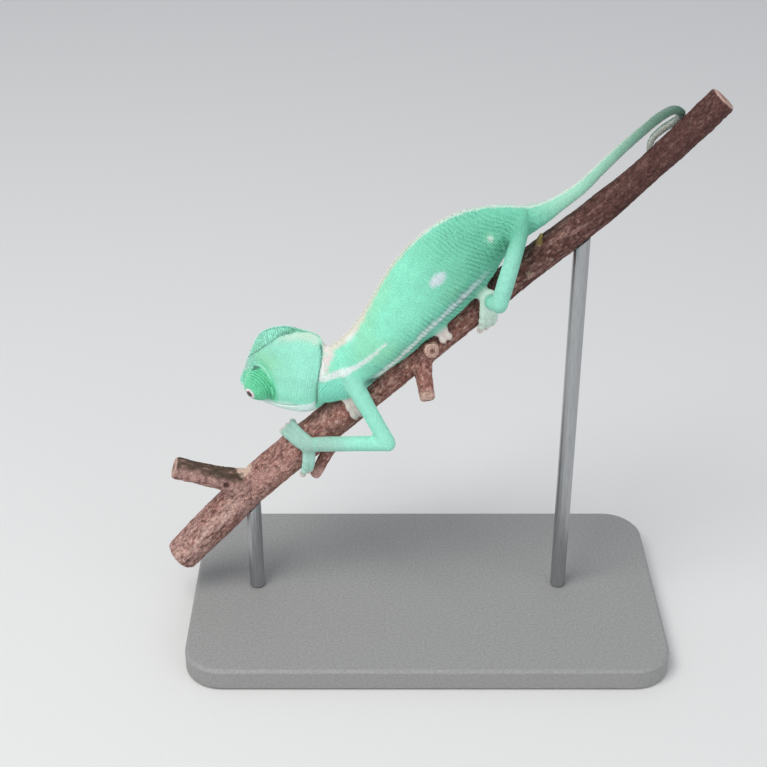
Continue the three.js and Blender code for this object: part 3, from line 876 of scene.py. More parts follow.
MINT = srgb(152, 242, 210)
REAR_GREEN = srgb(116, 206, 174)
LEAF = srgb(162, 236, 194)
UNDER_GREEN = srgb(122, 216, 188)
HEAD_MINT = srgb(160, 238, 212)
ROOF_GREEN = srgb(120, 198, 160)
BROW_GREEN = srgb(158, 230, 186)
TURRET_GREEN = srgb(110, 220, 168)
# painted shade: the darker green laid in the valleys of folds and wrinkles
FOLD_SHADE_GREEN = srgb(44, 146, 102)
CREAM = srgb(230, 228, 210)
WHITE = srgb(246, 250, 248)
PALE_LINE = srgb(226, 236, 242)
NECK_MINT = srgb(157, 255, 227)
HEAD_BAND = srgb(210, 236, 216)
SNOUT = srgb(200, 218, 210)
JAW_PALE = srgb(232, 255, 248)
SHADOW = srgb(58, 72, 74)
NAPE = srgb(244, 225, 223)
LID = srgb(250, 234, 236)
# painted shade: the dark colour laid in creases and just over the crest
CREASE_SHADE = srgb(70, 104, 98)
GREY = srgb(92, 108, 108)
LEG_MINT = srgb(164, 240, 216)
FOOT_PALE = srgb(189, 231, 216)
HIND_FOOT_PALE = srgb(214, 236, 222)
TOE_PINK = srgb(234, 210, 206)
TAIL_START = srgb(163, 221, 195)
# painted shade: the dark colour at the tail's end
TAIL_END_SHADE = srgb(76, 104, 90)
TAIL_UNDER = srgb(214, 216, 206)
# painted shade: the dark colour of holes and of the eye's recess
RECESS_SHADE = srgb(40, 24, 20)

# The white stripe from behind the head to the shoulder and flank: along, height, half its width.
STRIPE = np.array([
    [27.4, 59.2, 0.5], [26.2, 57.8, 0.52], [25.2, 56.9, 0.55], [27.2, 56.4, 0.65], [28.5, 56.0, 0.74],
    [30.0, 55.7, 0.72], [31.2, 55.1, 0.6], [32.4, 54.6, 0.48], [35.3, 54.4, 0.4], [37.7, 54.3, 0.3],
    [40.8, 54.5, 0.12],
])
# The lower edge of the pale ground on nape and back: along, height.
PALE_EDGE = np.array([
    [27.4, 57.3], [28.9, 58.1], [30.3, 58.8], [31.4, 59.2], [35.4, 59.2], [37.4, 59.4], [39.5, 60.0],
    [41.6, 60.6], [43.8, 61.3], [50.0, 63.0],
])
# The pale band down the middle of the back: along, half its width.
BACK_BAND = np.array([
    [30, 2.0], [36, 1.9], [44, 1.2], [50, 1.0], [56, 0.95], [66, 0.8], [76, 0.65], [88, 0.5],
])


def stripe_share(along, high):
    """1 on the white stripe, falling to 0 at its edges."""
    share = np.zeros(len(along))
    for (a, h, w), (a2, h2, w2) in zip(STRIPE[:-1], STRIPE[1:]):
        way = np.array([a2 - a, h2 - h])
        t = np.clip(((along - a) * way[0] + (high - h) * way[1]) / (way @ way), 0, 1)
        far = np.hypot(along - a - t * way[0], high - h - t * way[1])
        width = w + t * (w2 - w)
        share = np.maximum(share, 1 - ramp(far, 0.75 * width, 1.2 * width))
    return share


def flank_ground(points, flank):
    """The flank's mint with leaf-green patches, greener low down and at the rear, with painted shade in the
    folds.
    """
    along, high = body_axes(points)
    # painted light: a lighter patch low on the rear flank, under the thigh
    painted_light_low = bell(along - 66, 5) * bell(high - 51, 3)
    tint = mix(MINT, REAR_GREEN, (0.9 - 0.4 * painted_light_low) * ramp(along, 46, 72))
    tint = mix(tint, LEAF, 0.5 * ramp(lumps(points, 6.0, 11), -0.1, 0.5) * (1 - ramp(along, 55, 66)))
    line = high - flank_line(along) - 0.3 * lumps(points, 1.1, 12)
    tint = mix(tint, UNDER_GREEN, 0.6 * (1 - ramp(line, 0.6, 3.5)) * ramp(along, 31, 36))
    # painted shade: darker green patches in the groin's folds
    groin = bell(along - 70.5, 3.2) * bell(high - 54.0, 3.0) * flank
    tint = mix(tint, FOLD_SHADE_GREEN, 0.3 * groin * ramp(lumps(points, 0.9, 13), -0.4, 0.5))
    wave = np.sin(flank_wave(points))
    # painted shade: darker green in the valleys of the flank's wrinkles
    tint = mix(tint, FOLD_SHADE_GREEN, 0.42 * ramp(-wave, 0.2, 1.0) * flank_wrinkled(points) * flank)
    lengthwise = between(along, 31.5, 34, 60, 67) * flank
    broken = ramp(wave + lumps(points, 0.6, 15), -1.0, 0.0)
    edges = bell(line - 0.75, 0.3) + bell(line + 0.7, 0.3)
    tint = mix(tint, GREY, 0.5 * edges * lengthwise * (1 - 0.6 * broken))
    pale_line = np.clip(1.4 * bell(line, 0.5), 0, 1) * lengthwise * (0.4 + 0.6 * broken)
    return mix(tint, mix(WHITE, PALE_LINE, ramp(along, 44, 54)), 0.97 * pale_line)


def neck_colours(body, tint, flank):
    """The armpit's shadow, the bright neck with painted shade in its wrinkles, and the pale nape with its
    streaked edge.
    """
    points = body.points
    along, high = body_axes(points)
    behind = ramp(-past_margin(points), 0.1, 0.5)
    shade = bell(along - 31.8, 1.6) * bell(high - 49.9 + 0.4 * (along - 31.5), 0.95) * flank
    jags = np.sin(2 * np.pi * (along + 0.3 * high + 0.3 * lumps(points, 1.0, 37)) / 0.75)
    tint = mix(tint, SHADOW, np.clip(1.6 * shade, 0, 1) * (0.75 + 0.25 * ramp(jags, -0.7, 0.4)))
    neck = body.share("neck", "trunk", rounds=8) * (1 - ramp(along, 28, 33)) * (1 - ramp(high, 55.5, 57))
    tint = mix(tint, NECK_MINT, neck * behind)
    # painted shade: darker green in the valleys of the neck's wrinkles
    tint = mix(tint, FOLD_SHADE_GREEN, 0.17 * ramp(-np.sin(neck_wave(points)), 0.1, 0.9) * neck * behind)
    streaks = lumps(np.stack([along + 0.4 * high, points[:, 1], 0.25 * high], 1), 0.42, 36)
    streaks *= 1 - ramp(along, 30, 35)
    edge = np.interp(along, *PALE_EDGE.T) + 0.35 * lumps(points, 1.0, 16)
    above = ramp(high - edge + 0.6 * streaks, -0.5, 0.5) * (1 - ramp(along, 38, 47)) * behind
    above *= 1 - 0.35 * ramp(streaks, 0.0, 0.5)
    return mix(tint, mix(NAPE, CREAM, ramp(along, 35, 39)), 0.92 * above)


def back_colours(points, normals, tint, flank):
    """The pale band down the back, the bright patch beside it, the oval, the spot and painted shade in the
    thigh's crease.
    """
    along, high = body_axes(points)
    width = np.interp(along, *BACK_BAND.T) * (1 + 0.35 * lumps(points, 0.8, 17))
    band = 1 - ramp(np.abs(points[:, 1]), 0.6 * width, width)
    band *= ramp(normals @ BODY_UP, 0.05, 0.3) * ramp(along, 29, 32)
    ridge = mix(CREAM, WHITE, 0.7 * ramp(along, 52, 66))
    tint = mix(tint, ridge, (0.85 - 0.2 * ramp(along, 40, 48)) * band)
    bright = bell(along - 35.6, 1.2) * bell(high - 59.9, 0.75)
    tint = mix(tint, WHITE, np.clip(1.8 * bright, 0, 1) * flank)
    oval = np.hypot((along - OVAL[0]) / 2.05, (high - OVAL[1]) / 1.25) + 0.12 * lumps(points, 0.7, 18)
    tint = mix(tint, PALE_LINE, 0.9 * (1 - ramp(oval, 0.6, 1.15)) * flank)
    spot = np.hypot(along - SPOT[0], high - SPOT[1]) / 0.75 + 0.15 * lumps(points, 0.5, 19)
    tint = mix(tint, LEAF, 0.35 * (1 - ramp(spot, 1.0, 2.2)) * flank)
    tint = mix(tint, WHITE, 0.85 * (1 - ramp(spot, 0.35, 0.9)) * flank)
    # painted shade in the crease before the thigh
    return mix(tint, CREASE_SHADE, 0.75 * bell(thigh_crease(along, high), 0.22) * flank)


def body_colours(body, normals):
    """The colours of neck and trunk with their pale marks."""
    flank = ramp(np.abs(body.points[:, 1]), 0.8, 1.6)
    tint = neck_colours(body, flank_ground(body.points, flank), flank)
    return back_colours(body.points, normals, tint, flank)


def shoulder_stripe(points, tint):
    """The white stripe from behind the head over the shoulder to the flank."""
    mine = between(np.abs(points[:, 1]), 0.6, 1.2, 5.2, 6.2) * ramp(-past_margin(points), 0.0, 0.3)
    broken = 0.9 + 0.1 * lumps(points, 0.5, 20)
    return mix(tint, WHITE, 0.95 * stripe_share(*body_axes(points)) * mine * broken)


def tail_colours(points, normals):
    """The tail's green, darker towards its end as painted shade, a white ridge partly painted highlight, a
    pale inner side.
    """
    # painted shade: darker towards the tail's end
    tint = mix(TAIL_START, TAIL_END_SHADE, 0.9 * ramp(points[:, 0], 26, 44))
    # a pale line down the top of the tail, partly a painted highlight on its upper side
    ridge = (1 - ramp(np.abs(points[:, 1]), 0.2, 0.52)) * ramp(normals @ BODY_UP, 0.3, 0.7)
    tint = mix(tint, WHITE, 0.62 * ridge * (1 - 0.85 * ramp(points[:, 0], 26, 40)))
    inner = ramp(points[:, 1], 0.9, 1.8) * ramp(-normals[:, 1] - 0.5 * normals[:, 2], -0.2, 0.4)
    under = ramp(-(normals @ BODY_UP), 0.55, 0.85) * (1 - ramp(points[:, 1], 0.9, 1.8))
    return mix(tint, TAIL_UNDER, 0.8 * np.maximum(inner, 0.6 * under))


# The upper edge of the pale band along the jaw: ahead, up.
JAW_EDGE = np.array([
    [0.1, 4.9], [1.3, 4.1], [3.4, 3.4], [5.7, 2.8], [9.5, 2.4], [13.0, 2.1], [17.0, 2.3], [21.0, 2.8],
])


def head_colours(points):
    """The head's mint cheeks, green roof with its pale edge, pale jaw, and painted shade over the crest, in
    mouth and nostrils.
    """
    ahead, out, up = head_axes(points)
    side = np.abs(out)
    tint = mix(HEAD_MINT, MINT, 0.5 * (1 - ramp(up, 3, 9)))
    tint = mix(tint, BROW_GREEN, 0.75 * bell(ahead - 11.8, 4.0) * bell(up - 10.8, 2.4))
    tint = mix(tint, SNOUT, 0.7 * ramp(ahead, 15.5, 18.5) * ramp(up, 3.5, 5.0))
    over = up - crest_height(ahead) + 0.15 * lumps(points, 0.7, 21)
    roof = ramp(over, -0.1, 0.35) * ramp(up, 8.5, 10.5) * ramp(ahead, 3.0, 5.0)
    mottled = 0.72 + 0.28 * lumps(points, 0.45, 22)
    tint = mix(tint, ROOF_GREEN, roof * mottled * (1 - 0.9 * ramp(ahead, 7.0, 11.0)))
    # painted shadow: a dark band just over the crest on the roof
    tint = mix(tint, CREASE_SHADE, 0.45 * roof * bell(over - 0.35, 0.35) * ramp(ahead, 5.0, 8.0))
    band = between(-over, -0.3, 0.1, 0.4, 2.0) * (1 - ramp(ahead, 6.5, 11.5))
    rear = (1 - ramp(-over, 0.4, 1.8)) * (1 - ramp(ahead, 3.5, 5.0))
    tint = mix(tint, HEAD_BAND, 0.8 * np.maximum(band, rear))
    edge = np.interp(ahead, *JAW_EDGE.T) + 0.12 * lumps(points, 0.8, 23)
    tint = mix(tint, JAW_PALE, 0.9 * (1 - ramp(up - edge, -0.35, 0.15)) * ramp(ahead, -0.4, 0.8))
    lip = bell(up - mouth_height(ahead) - 0.45, 0.5) * ramp(ahead, 4, 6)
    tint = mix(tint, WHITE, 0.3 * lip)
    # painted shade: a faint grey line in the groove of the mouth
    line = bell(up - mouth_height(ahead), 0.1) * ramp(ahead, 3.6, 5.0) * ramp(side, 0.15, 0.3)
    tint = mix(tint, GREY, 0.15 * line)
    # painted shade: the nostril's hole filled dark
    hole = 1 - ramp(nostril_from(ahead, up), 0.12, 0.3)
    tint = mix(tint, RECESS_SHADE, 0.8 * hole * ramp(side, 0.5, 0.9))
    rows = np.sin(2 * np.pi * (ahead + 0.12 * up + 0.1 * lumps(points, 1.5, 24)) / 0.66)
    return tint * (1 + 0.035 * rows * ramp(12 - ahead, 0, 3) * ramp(up, 3, 6))[:, None]


def margin_colours(body, tint):
    """Painted shade: the dark line in the crease behind the head."""
    past = past_margin(body.points)
    _, _, up = head_axes(body.points)
    near = body.share("head", "neck", rounds=3) * ramp(up, 2.5, 4.5) * (1 - ramp(up, 15.6, 16.8))
    # painted shade along the crease
    return mix(tint, CREASE_SHADE, 0.95 * bell(past + 0.05, 0.17) * near)


def turret_zone(ahead, up):
    """1 on the green dome round an eye: an oval, seen from the side, flattened under brow and along lip."""
    oval = np.hypot((ahead - 14.0) / 5.4, (up - 4.5) / 4.6)
    under_brow = 1 - ramp(up - 5.7 - 0.65 * (18.9 - ahead), -0.2, 0.15)
    return (1 - ramp(oval, 0.92, 0.98)) * under_brow * ramp(up - mouth_height(ahead), 0.3, 0.8)


def turret_colours(points, tint):
    """Green with painted shade in the ring folds, most at the back, paler in front, and the pale rim of the
    lids.
    """
    made = tint.copy()
    for side in (1, -1):
        wide, rear = round_turret(points, side)
        far, angle = from_gaze(points, side)
        mine = (side * head_axes(points)[1] > 0.6) & (far < 7.5)
        wide, rear, far, angle, near = (values[mine] for values in (wide, rear, far, angle, points))
        ways = (near - turret_middle(side)) / far[:, None]
        ahead, _, up = head_axes(near)
        zone = turret_zone(ahead, up)
        rearward = ramp(ways @ unit(0.8 * UP - HEAD_AHEAD), -0.15, 0.5)
        forward = ramp(ways @ unit(HEAD_AHEAD + 0.3 * UP), 0.3, 0.75)
        low = ramp(-ways @ UP, 0.25, 0.75)
        green = mix(TURRET_GREEN, HEAD_MINT, np.maximum(0.4 * forward, 0.25 * low))
        green = mix(green, LEAF, 0.4 * ramp(lumps(near, 0.5, 25), 0.1, 0.5) * (1 - rearward))
        # painted shade: darker green in the valleys between the ring folds, most at the back
        valley = ramp(-np.cos(2 * np.pi * angle * TURRET["radius"] / FOLD_PITCH), 0.2, 0.95)
        green = mix(green, FOLD_SHADE_GREEN, (0.04 + 0.66 * rearward) * valley * ramp(angle, 0.65, 1.05))
        tone = mix(tint[mine], green, zone)
        # painted shade: darker green arcs in the grooves of the folds behind the turret
        arcs = bell(wide - 4.35, 0.16) + bell(wide - 4.8, 0.13) + 0.8 * bell(wide - 5.2, 0.12)
        tone = mix(tone, TURRET_GREEN, np.clip(0.75 * arcs, 0, 1) * rear * (1 - zone))
        # painted shade: a dark line in the crease under the brow
        slit = brow_slit(ahead, up) + 0.07 * lumps(near, 0.4, 26)
        tone = mix(tone, CREASE_SHADE, 0.8 * (1 - ramp(slit, 0.12, 0.3)) * (far > 3.2))
        off = angle - RIM_ANGLE
        tone = mix(tone, LID, (1 - ramp(off, 0.11, 0.17)) * (far < 4.4))
        # painted shade: the sunken inner wall of the lids' opening dark
        made[mine] = mix(tone, RECESS_SHADE, (1 - ramp(off, -0.07, -0.03)) * (far < 4.0))
    return made


def leg_colours(body, tint):
    """Legs that pale towards the feet, with painted shade at the hind leg's root and on the upper forefeet.
    """
    hind = body.share_of("hindleg", rounds=8)
    hind_foot = body.share_of("hindfoot", rounds=14)
    out = np.abs(body.points[:, 1])
    tint = mix(tint, LEG_MINT, 0.85 * np.clip(body.share("leg", rounds=8) - hind, 0, 1))
    # painted shade: the hind leg darker green at its root against the body
    shaded_hind_tint = mix(0.85 * REAR_GREEN, 0.87 * LEG_MINT, ramp(out, 3.2, 8.5))
    tint = mix(tint, shaded_hind_tint, 0.9 * hind)
    # painted shade: the forefeet and wrists darker except where they reach low
    low = ramp(43.5 - body.points[:, 2], 0.0, 3.5) * (1 - hind_foot)
    foot_tint = mix(0.74 * FOOT_PALE, 0.86 * FOOT_PALE + 0.2 * LEG_MINT, low)
    foot_tint = mix(foot_tint, 1.04 * HIND_FOOT_PALE, hind_foot)
    share = ramp(body.share("foot", rounds=90), 0.15, 0.85)
    for side in ("left", "right"):
        wrist = WRISTS[f"forefoot_{side}"]
        near = 1 - ramp(np.linalg.norm(body.points - wrist, axis=1), 1.0, 8.0)
        share = np.maximum(share, 0.9 * near * body.share_of(f"foreleg_{side}_lower", rounds=8))
    return mix(tint, foot_tint, 0.9 * share)


def foot_colours(body, tint):
    """Pinkish soles and toe ends."""
    for foot, (_, *bundles) in FEET.items():
        mine = body.node == flesh.nodes.index(foot)
        points = body.points[mine]
        _, _, far = twig.around(points)
        pink = 0.55 * (1 - ramp(far, 4.2, 4.9))
        for bundle in bundles:
            share, row, _ = toe_places(points, foot, bundle)
            pink = np.maximum(pink, 0.75 * ramp(share, 0.72, 1.0) * (np.abs(row) < 0.5 * bundle[2] + 0.4))
        if "right" in foot:
            pink = np.maximum(pink, 0.75 * ramp(far, 3.0, 3.6))
        tint[mine] = mix(tint[mine], TOE_PINK, pink)
    return tint


def markings(body):
    """The colour of every point of the skin."""
    normals = body.normals()
    tint = body_colours(body, normals)
    tail = ramp(body.points @ BODY_AXIS, 76, 86) * body.share("tail", "trunk", rounds=4)
    tint = mix(tint, tail_colours(body.points, normals), tail)
    tint = foot_colours(body, leg_colours(body, tint))
    tint = shoulder_stripe(body.points, tint)
    ahead_of = ramp(past_margin(body.points), -0.1, 0.1) * body.share("head", "neck", "eye", rounds=2)
    tint = mix(tint, head_colours(body.points), ahead_of)
    tint = margin_colours(body, tint)
    tint = turret_colours(body.points, tint)
    tone = 1 + 0.05 * lumps(body.points, 1.3, 31) + 0.04 * lumps(body.points, 4.5, 32)
    return np.clip(tint * tone[:, None], 0, 1)


# ---- scales ----
SPACING = {"foot": 0.29, "leg": 0.37, "tail": 0.35, "eye": 0.28, "head": 0.34, "neck": 0.40, "trunk": 0.44}
HEIGHT = {"foot": 0.05, "leg": 0.07, "tail": 0.07, "eye": 0.06, "head": 0.055, "neck": 0.08, "trunk": 0.085}
ROOT_DEPTH = 0.05  # how far a scale's base is sunk into the skin
CROWDING = 0.84  # of the spacing, the least distance between scales as they are first strewn
ROOM = 2.1  # a scale's spacing in its own radii
STREWN = 6.5  # tries at strewing a scale for each that the skin has room for
SCALE_PAINTED_SHADING = (0.74, 1.0, 1.06)  # painted shading: how bright a scale's tint is at its root (painted shade), its shoulder and its top (painted highlight)
PATCH = 0.003  # a scale's width on the coat's map


class Surface:
    """Values known at the skin's vertices, read at any place on it."""

    def __init__(self, body):
        self.body = body
        self.normals = body.normals()
        self.tint = markings(body)
        self.knobbly = self.knobs()
        self.spacing = self.by_kind(SPACING) + 0.13 * self.knobbly
        self.height = self.by_kind(HEIGHT) + 0.1 * self.knobbly
        self.lie = self.lies()

    def by_kind(self, table):
        """A table's value for the kind of part at each point, softened over the borders."""
        values = np.array([table[KINDS[k]] for k in self.body.kind])
        return self.body.net.diffused(values, 10)

    def knobs(self):
        """1 where the head is knobbly: its roof between the crests, and its snout."""
        ahead, _, up = head_axes(self.body.points)
        roof = ramp(up - crest_height(ahead), -0.1, 0.3) * ramp(ahead, 2.5, 4.5)
        return np.maximum(roof, 0.5 * ramp(ahead, 12.5, 15.5)) * self.body.share("head", rounds=3)

    def lies(self):
        """The way that the scales' free ends point."""
        body = self.body
        points = body.points
        way = np.tile(BODY_AXIS, (len(points), 1))
        for index, node in enumerate(flesh.nodes):
            mine = body.node == index
            if "leg" in node or "tail" in node:
                middle, axis = long_axis(points[mine])
                outward = middle - np.array([4.0, 0, 78.0])
                way[mine] = axis * np.sign(axis @ outward)
            elif node in FEET:
                way[mine] = unit(points[mine] - np.array(WRISTS[node]))
            elif node == "head":
                way[mine] = unit(-HEAD_AHEAD + 0.15 * UP)
            elif "eye" in node:
                side = 1 if "left" in node else -1
                way[mine] = unit(np.cross(gaze(side), self.normals[mine]))
        return unit(body.net.diffused(way, 6))

    def read(self, places):
        """The nearest points on the skin, their triangles, and how much each corner counts."""
        found = [tree.find_nearest(Vector(p)) for p in places]
        points = np.array([f[0] for f in found])
        faces = np.array([f[2] for f in found])
        a, b, c = corners_of(self.body.points, self.body.triangles[faces])
        ab, ac, ap = b - a, c - a, points - a
        d1, d2, d3 = (ab * ab).sum(1), (ab * ac).sum(1), (ac * ac).sum(1)
        d4, d5 = (ap * ab).sum(1), (ap * ac).sum(1)
        area = np.maximum(d1 * d3 - d2 * d2, 1e-12)
        v = np.clip((d3 * d4 - d2 * d5) / area, 0, 1)
        w = np.clip((d1 * d5 - d2 * d4) / area, 0, 1)
        return points, faces, np.stack([1 - v - w, v, w], 1)

    def at(self, values, faces, shares):
        """Values of the skin's points, read at places inside its triangles."""
        corners = values[self.body.triangles[faces]]
        return (corners * shares.reshape(shares.shape + (1,) * (corners.ndim - 2))).sum(1)


class Scales:
    """The roots of scales with their size and colour; the first keep their places, the rest fill in."""

    def __init__(self):
        self.parts = []

    def add(self, places, radius, height, sharp=0.0, tint=None, kinds=None, reach=0.5):
        """Scales at the nearest places on the skin, unless that is another kind of part or too far."""
        places = np.asarray(places, float).reshape(-1, 3)
        points, faces, shares = surface.read(places)
        keep = np.linalg.norm(points - places, axis=1) < reach
        if kinds:
            keep &= are_kinds(body.kind[body.triangles[faces, 0]], kinds)
        colour = surface.at(surface.tint, faces, shares)
        if tint is not None:
            colour = mix(colour, tint[0], np.full(len(places), tint[1]))
        made = {"point": points, "face": faces, "share": shares, "tint": colour}
        for key, value in (("radius", radius), ("height", height), ("sharp", sharp), ("ordinary", 0.0)):
            made[key] = np.broadcast_to(value, len(places)).astype(float)
        self.parts.append({key: value[keep] for key, value in made.items()})

    def fill(self, places):
        """Ordinary scales, their size still to be found from the room they have."""
        points, faces, shares = surface.read(places)
        room = surface.at(surface.spacing, faces, shares)
        lid = np.zeros(len(points), bool)
        for side in (1, -1):
            far, angle = from_gaze(points, side)
            lid |= (angle < RIM_ANGLE + 0.05) & (far < 4.5)
        made = {
            "point": points, "face": faces, "share": shares, "tint": surface.at(surface.tint, faces, shares),
            "radius": room / ROOM, "height": surface.at(surface.height, faces, shares),
            "sharp": np.zeros(len(points)), "ordinary": np.ones(len(points)),
        }
        self.parts.append({key: value[~lid] for key, value in made.items()})

    def joined(self):
        """All the scales added so far, as one table."""
        return {key: np.concatenate([part[key] for part in self.parts]) for key in self.parts[0]}


def cast(starts, way, kinds):
    """Where rays first meet the skin, if that is a wanted kind of part, and which rays these are."""
    hits = []
    rays = []
    for index, start in enumerate(starts):
        point, _, face, _ = tree.ray_cast(Vector(start), Vector(way))
        if point is not None and KINDS[body.kind[body.triangles[face, 0]]] in kinds:
            hits.append(point)
            rays.append(index)
    return np.array(hits), np.array(rays, int)


def back_rows(scales):
    """The crest of low cones down the back and the smaller one of the belly."""
    along = np.arange(31.0, 106.0, 0.56)
    along = np.concatenate([along[along < TAIL_FROM], np.arange(TAIL_FROM, 106.0, 0.42)])
    starts = along[:, None] * BODY_AXIS + 90 * BODY_UP
    points, rays = cast(starts, -BODY_UP, ("neck", "trunk", "tail"))
    size = np.interp(along[rays], [31, 45, 62, 80, 106], [0.36, 0.34, 0.27, 0.22, 0.17])
    scales.add(points, size, 1.05 * size, 0.85, (CREAM, 0.75))
    along = np.arange(30.0, 66.0, 0.52)
    starts = along[:, None] * BODY_AXIS + 30 * BODY_UP
    points, _ = cast(starts, BODY_UP, ("neck", "trunk"))
    scales.add(points, 0.22, 0.2, 0.8, (WHITE, 0.75))


def head_rows(scales):
    """The cones over the casque and under the chin, and the rows along crests, rear margin and lips."""
    ahead = np.arange(1.4, 17.6, 0.46)
    points, rays = cast(in_head(ahead, 0.0, 40.0), -UP, ("head",))
    scales.add(points, 0.25, 0.3 + 0.08 * np.sin(7 * ahead[rays]), 0.6, (HEAD_MINT, 0.5))
    ahead = np.arange(2.5, 18.5, 0.52)
    points, _ = cast(in_head(ahead, 0.0, -30.0), UP, ("head",))
    scales.add(points, 0.22, 0.24, 0.85, (WHITE, 0.7))
    for side in (1, -1):
        t = np.linspace(0, len(CREST) - 1, 44)
        crest = [np.interp(t, np.arange(len(CREST)), CREST[:, k]) for k in range(3)]
        places = in_head(crest[0], side * crest[1], crest[2])
        scales.add(places, 0.23, 0.13, 0.3, None, ("head",), 1.0)
        up = np.arange(3.6, 17.0, 0.4)
        edge = np.interp(up, *MARGIN.T) + 0.62
        points, _ = cast(in_head(edge, side * 9.0, up), -side * HEAD_LEFT, ("head", "neck"))
        scales.add(points, 0.2, 0.05)
        ahead = np.arange(4.2, 20.9, 0.4)
        for above in (0.28, -0.28):
            starts = in_head(ahead, side * 9.0, mouth_height(ahead) + above)
            points, _ = cast(starts, -side * HEAD_LEFT, ("head",))
            scales.add(points, 0.21, 0.06, 0.0, (WHITE, 0.25))


def turret_rows(scales):
    """Granules in rings round the eye, two rings to each fold, and a ring of beads on the lids' rim."""
    for side in (1, -1):
        ahead = gaze(side)
        across = unit(np.cross(ahead, UP))
        over = np.cross(across, ahead)
        rings = [(RIM_ANGLE + 0.045, 0.13, 0.05)]
        pitch = FOLD_PITCH / TURRET["radius"]
        for fold in range(2, 12):
            rings += [(fold * pitch + step * pitch, 0.15, 0.06) for step in (-0.24, 0.24)]
        for angle, radius, height in rings:
            count = int(2 * np.pi * math.sin(angle) * TURRET["radius"] / (1.95 * radius))
            turn = 2 * np.pi * (np.arange(count) + 0.5 * (int(angle * 1000) % 2)) / count
            ways = math.cos(angle) * ahead + math.sin(angle) * (
                np.cos(turn)[:, None] * across + np.sin(turn)[:, None] * over)
            places = turret_middle(side) + (TURRET["radius"] - 0.1) * ways
            scales.add(places, radius, height, 0.0, None, ("eye",), 0.45)


def row_round(middle, first, second, gap, shift, wanted):
    """Places at even distances along the skin's outline in one plane, found from a middle in it."""
    rays = 120
    turn = 2 * np.pi * np.arange(rays + 1) / rays  # the last ray is the first again
    ways = np.outer(np.cos(turn), first) + np.outer(np.sin(turn), second)
    hits = np.zeros((rays + 1, 3))
    good = np.zeros(rays + 1, bool)
    for index, way in enumerate(ways):
        point, _, face, _ = tree.ray_cast(Vector(middle), Vector(way), 14.0)
        if point is not None:
            hits[index] = point
            good[index] = wanted[body.triangles[face, 0]]
    steps = np.linalg.norm(np.diff(hits, axis=0), axis=1)
    whole = good[:-1] & good[1:] & (steps < 0.9)
    run = np.concatenate([[0], np.cumsum(np.where(whole, steps, 0))])
    count = int(run[-1] / gap)
    if count < 4:
        return np.zeros((0, 3))
    places = (np.arange(count) + shift) * run[-1] / count
    index = np.clip(np.searchsorted(run, places, "right") - 1, 0, rays - 1)
    share = (places - run[index]) / np.maximum(steps[index], 1e-9)
    made = hits[index] + share[:, None] * (hits[index + 1] - hits[index])
    return made[whole[index] & (share <= 1)]


def rows_along(scales, line, first, second, kinds, pitch, gap):
    """Rows round the body, one after another down a middle line of points."""
    wanted = are_kinds(body.kind, kinds)
    run = np.concatenate([[0], np.cumsum(np.linalg.norm(np.diff(line, axis=0), axis=1))])
    places = []
    for turn, at in enumerate(np.arange(0, run[-1], pitch)):
        middle = np.array([np.interp(at, run, line[:, k]) for k in range(3)])
        places.append(row_round(middle, first, second, gap, 0.5 * (turn % 2), wanted))
    scales.fill(np.vstack(places))


def even_rows(scales):
    """The small scales of trunk, tail, head and limbs, in rows that run round them."""
    across = np.array([0.0, 1.0, 0.0])
    nodes = [flesh.nodes.index(n) for n in ("neck", "trunk", "tail_base", "tail_middle")]
    points = body.points[np.isin(body.node, nodes)]
    along = points @ BODY_AXIS
    line = []
    for s in np.arange(24.5, along.max() - 0.5, 0.5):
        slab = points[np.abs(along - s) < 0.5]
        if len(slab) > 8:
            high = slab @ BODY_UP
            line.append([s, slab[:, 1].mean(), 0.5 * (high.min() + high.max())])
    s, y, high = np.array(line).T
    line = s[:, None] * BODY_AXIS + y[:, None] * across + high[:, None] * BODY_UP
    rows_along(scales, line[s < TAIL_FROM], across, BODY_UP, ("neck", "trunk", "tail"), 0.43, 0.38)
    rows_along(scales, line[s >= TAIL_FROM], across, BODY_UP, ("tail",), 0.37, 0.33)
    ahead = np.linspace(-1.0, 20.8, 40)
    line = in_head(ahead, 0.0, np.interp(ahead, [0, 6, 12, 18, 21], [9.0, 9.5, 7.5, 4.8, 4.2]))
    rows_along(scales, line, HEAD_LEFT, unit(UP - 0.1 * HEAD_AHEAD), ("head",), 0.34, 0.32)
    for index, node in enumerate(flesh.nodes):
        if "leg" in node:
            points = body.points[body.node == index]
            middle, axis = long_axis(points)
            run = (points - middle) @ axis
            line = middle + np.outer([run.min() + 0.6, run.max() - 0.6], axis)
            side = unit(np.cross(axis, UP))
            rows_along(scales, line, side, np.cross(side, axis), ("leg",), 0.38, 0.33)


def strewn(scales, seed):
    """Scales strewn evenly over the skin, to fill the room that the rows leave."""
    rng = np.random.default_rng(seed)
    a, b, c = corners_of(body.points, body.triangles)
    area = 0.5 * np.linalg.norm(np.cross(b - a, c - a), axis=1)
    room = surface.spacing[body.triangles].mean(1)
    weight = area / room ** 2
    chosen = rng.choice(len(area), int(STREWN * weight.sum()), p=weight / weight.sum())
    u, v = rng.random(len(chosen)), rng.random(len(chosen))
    flip = u + v > 1
    u[flip], v[flip] = 1 - u[flip], 1 - v[flip]
    places = a[chosen] + u[:, None] * (b - a)[chosen] + v[:, None] * (c - a)[chosen]
    scales.fill(places)


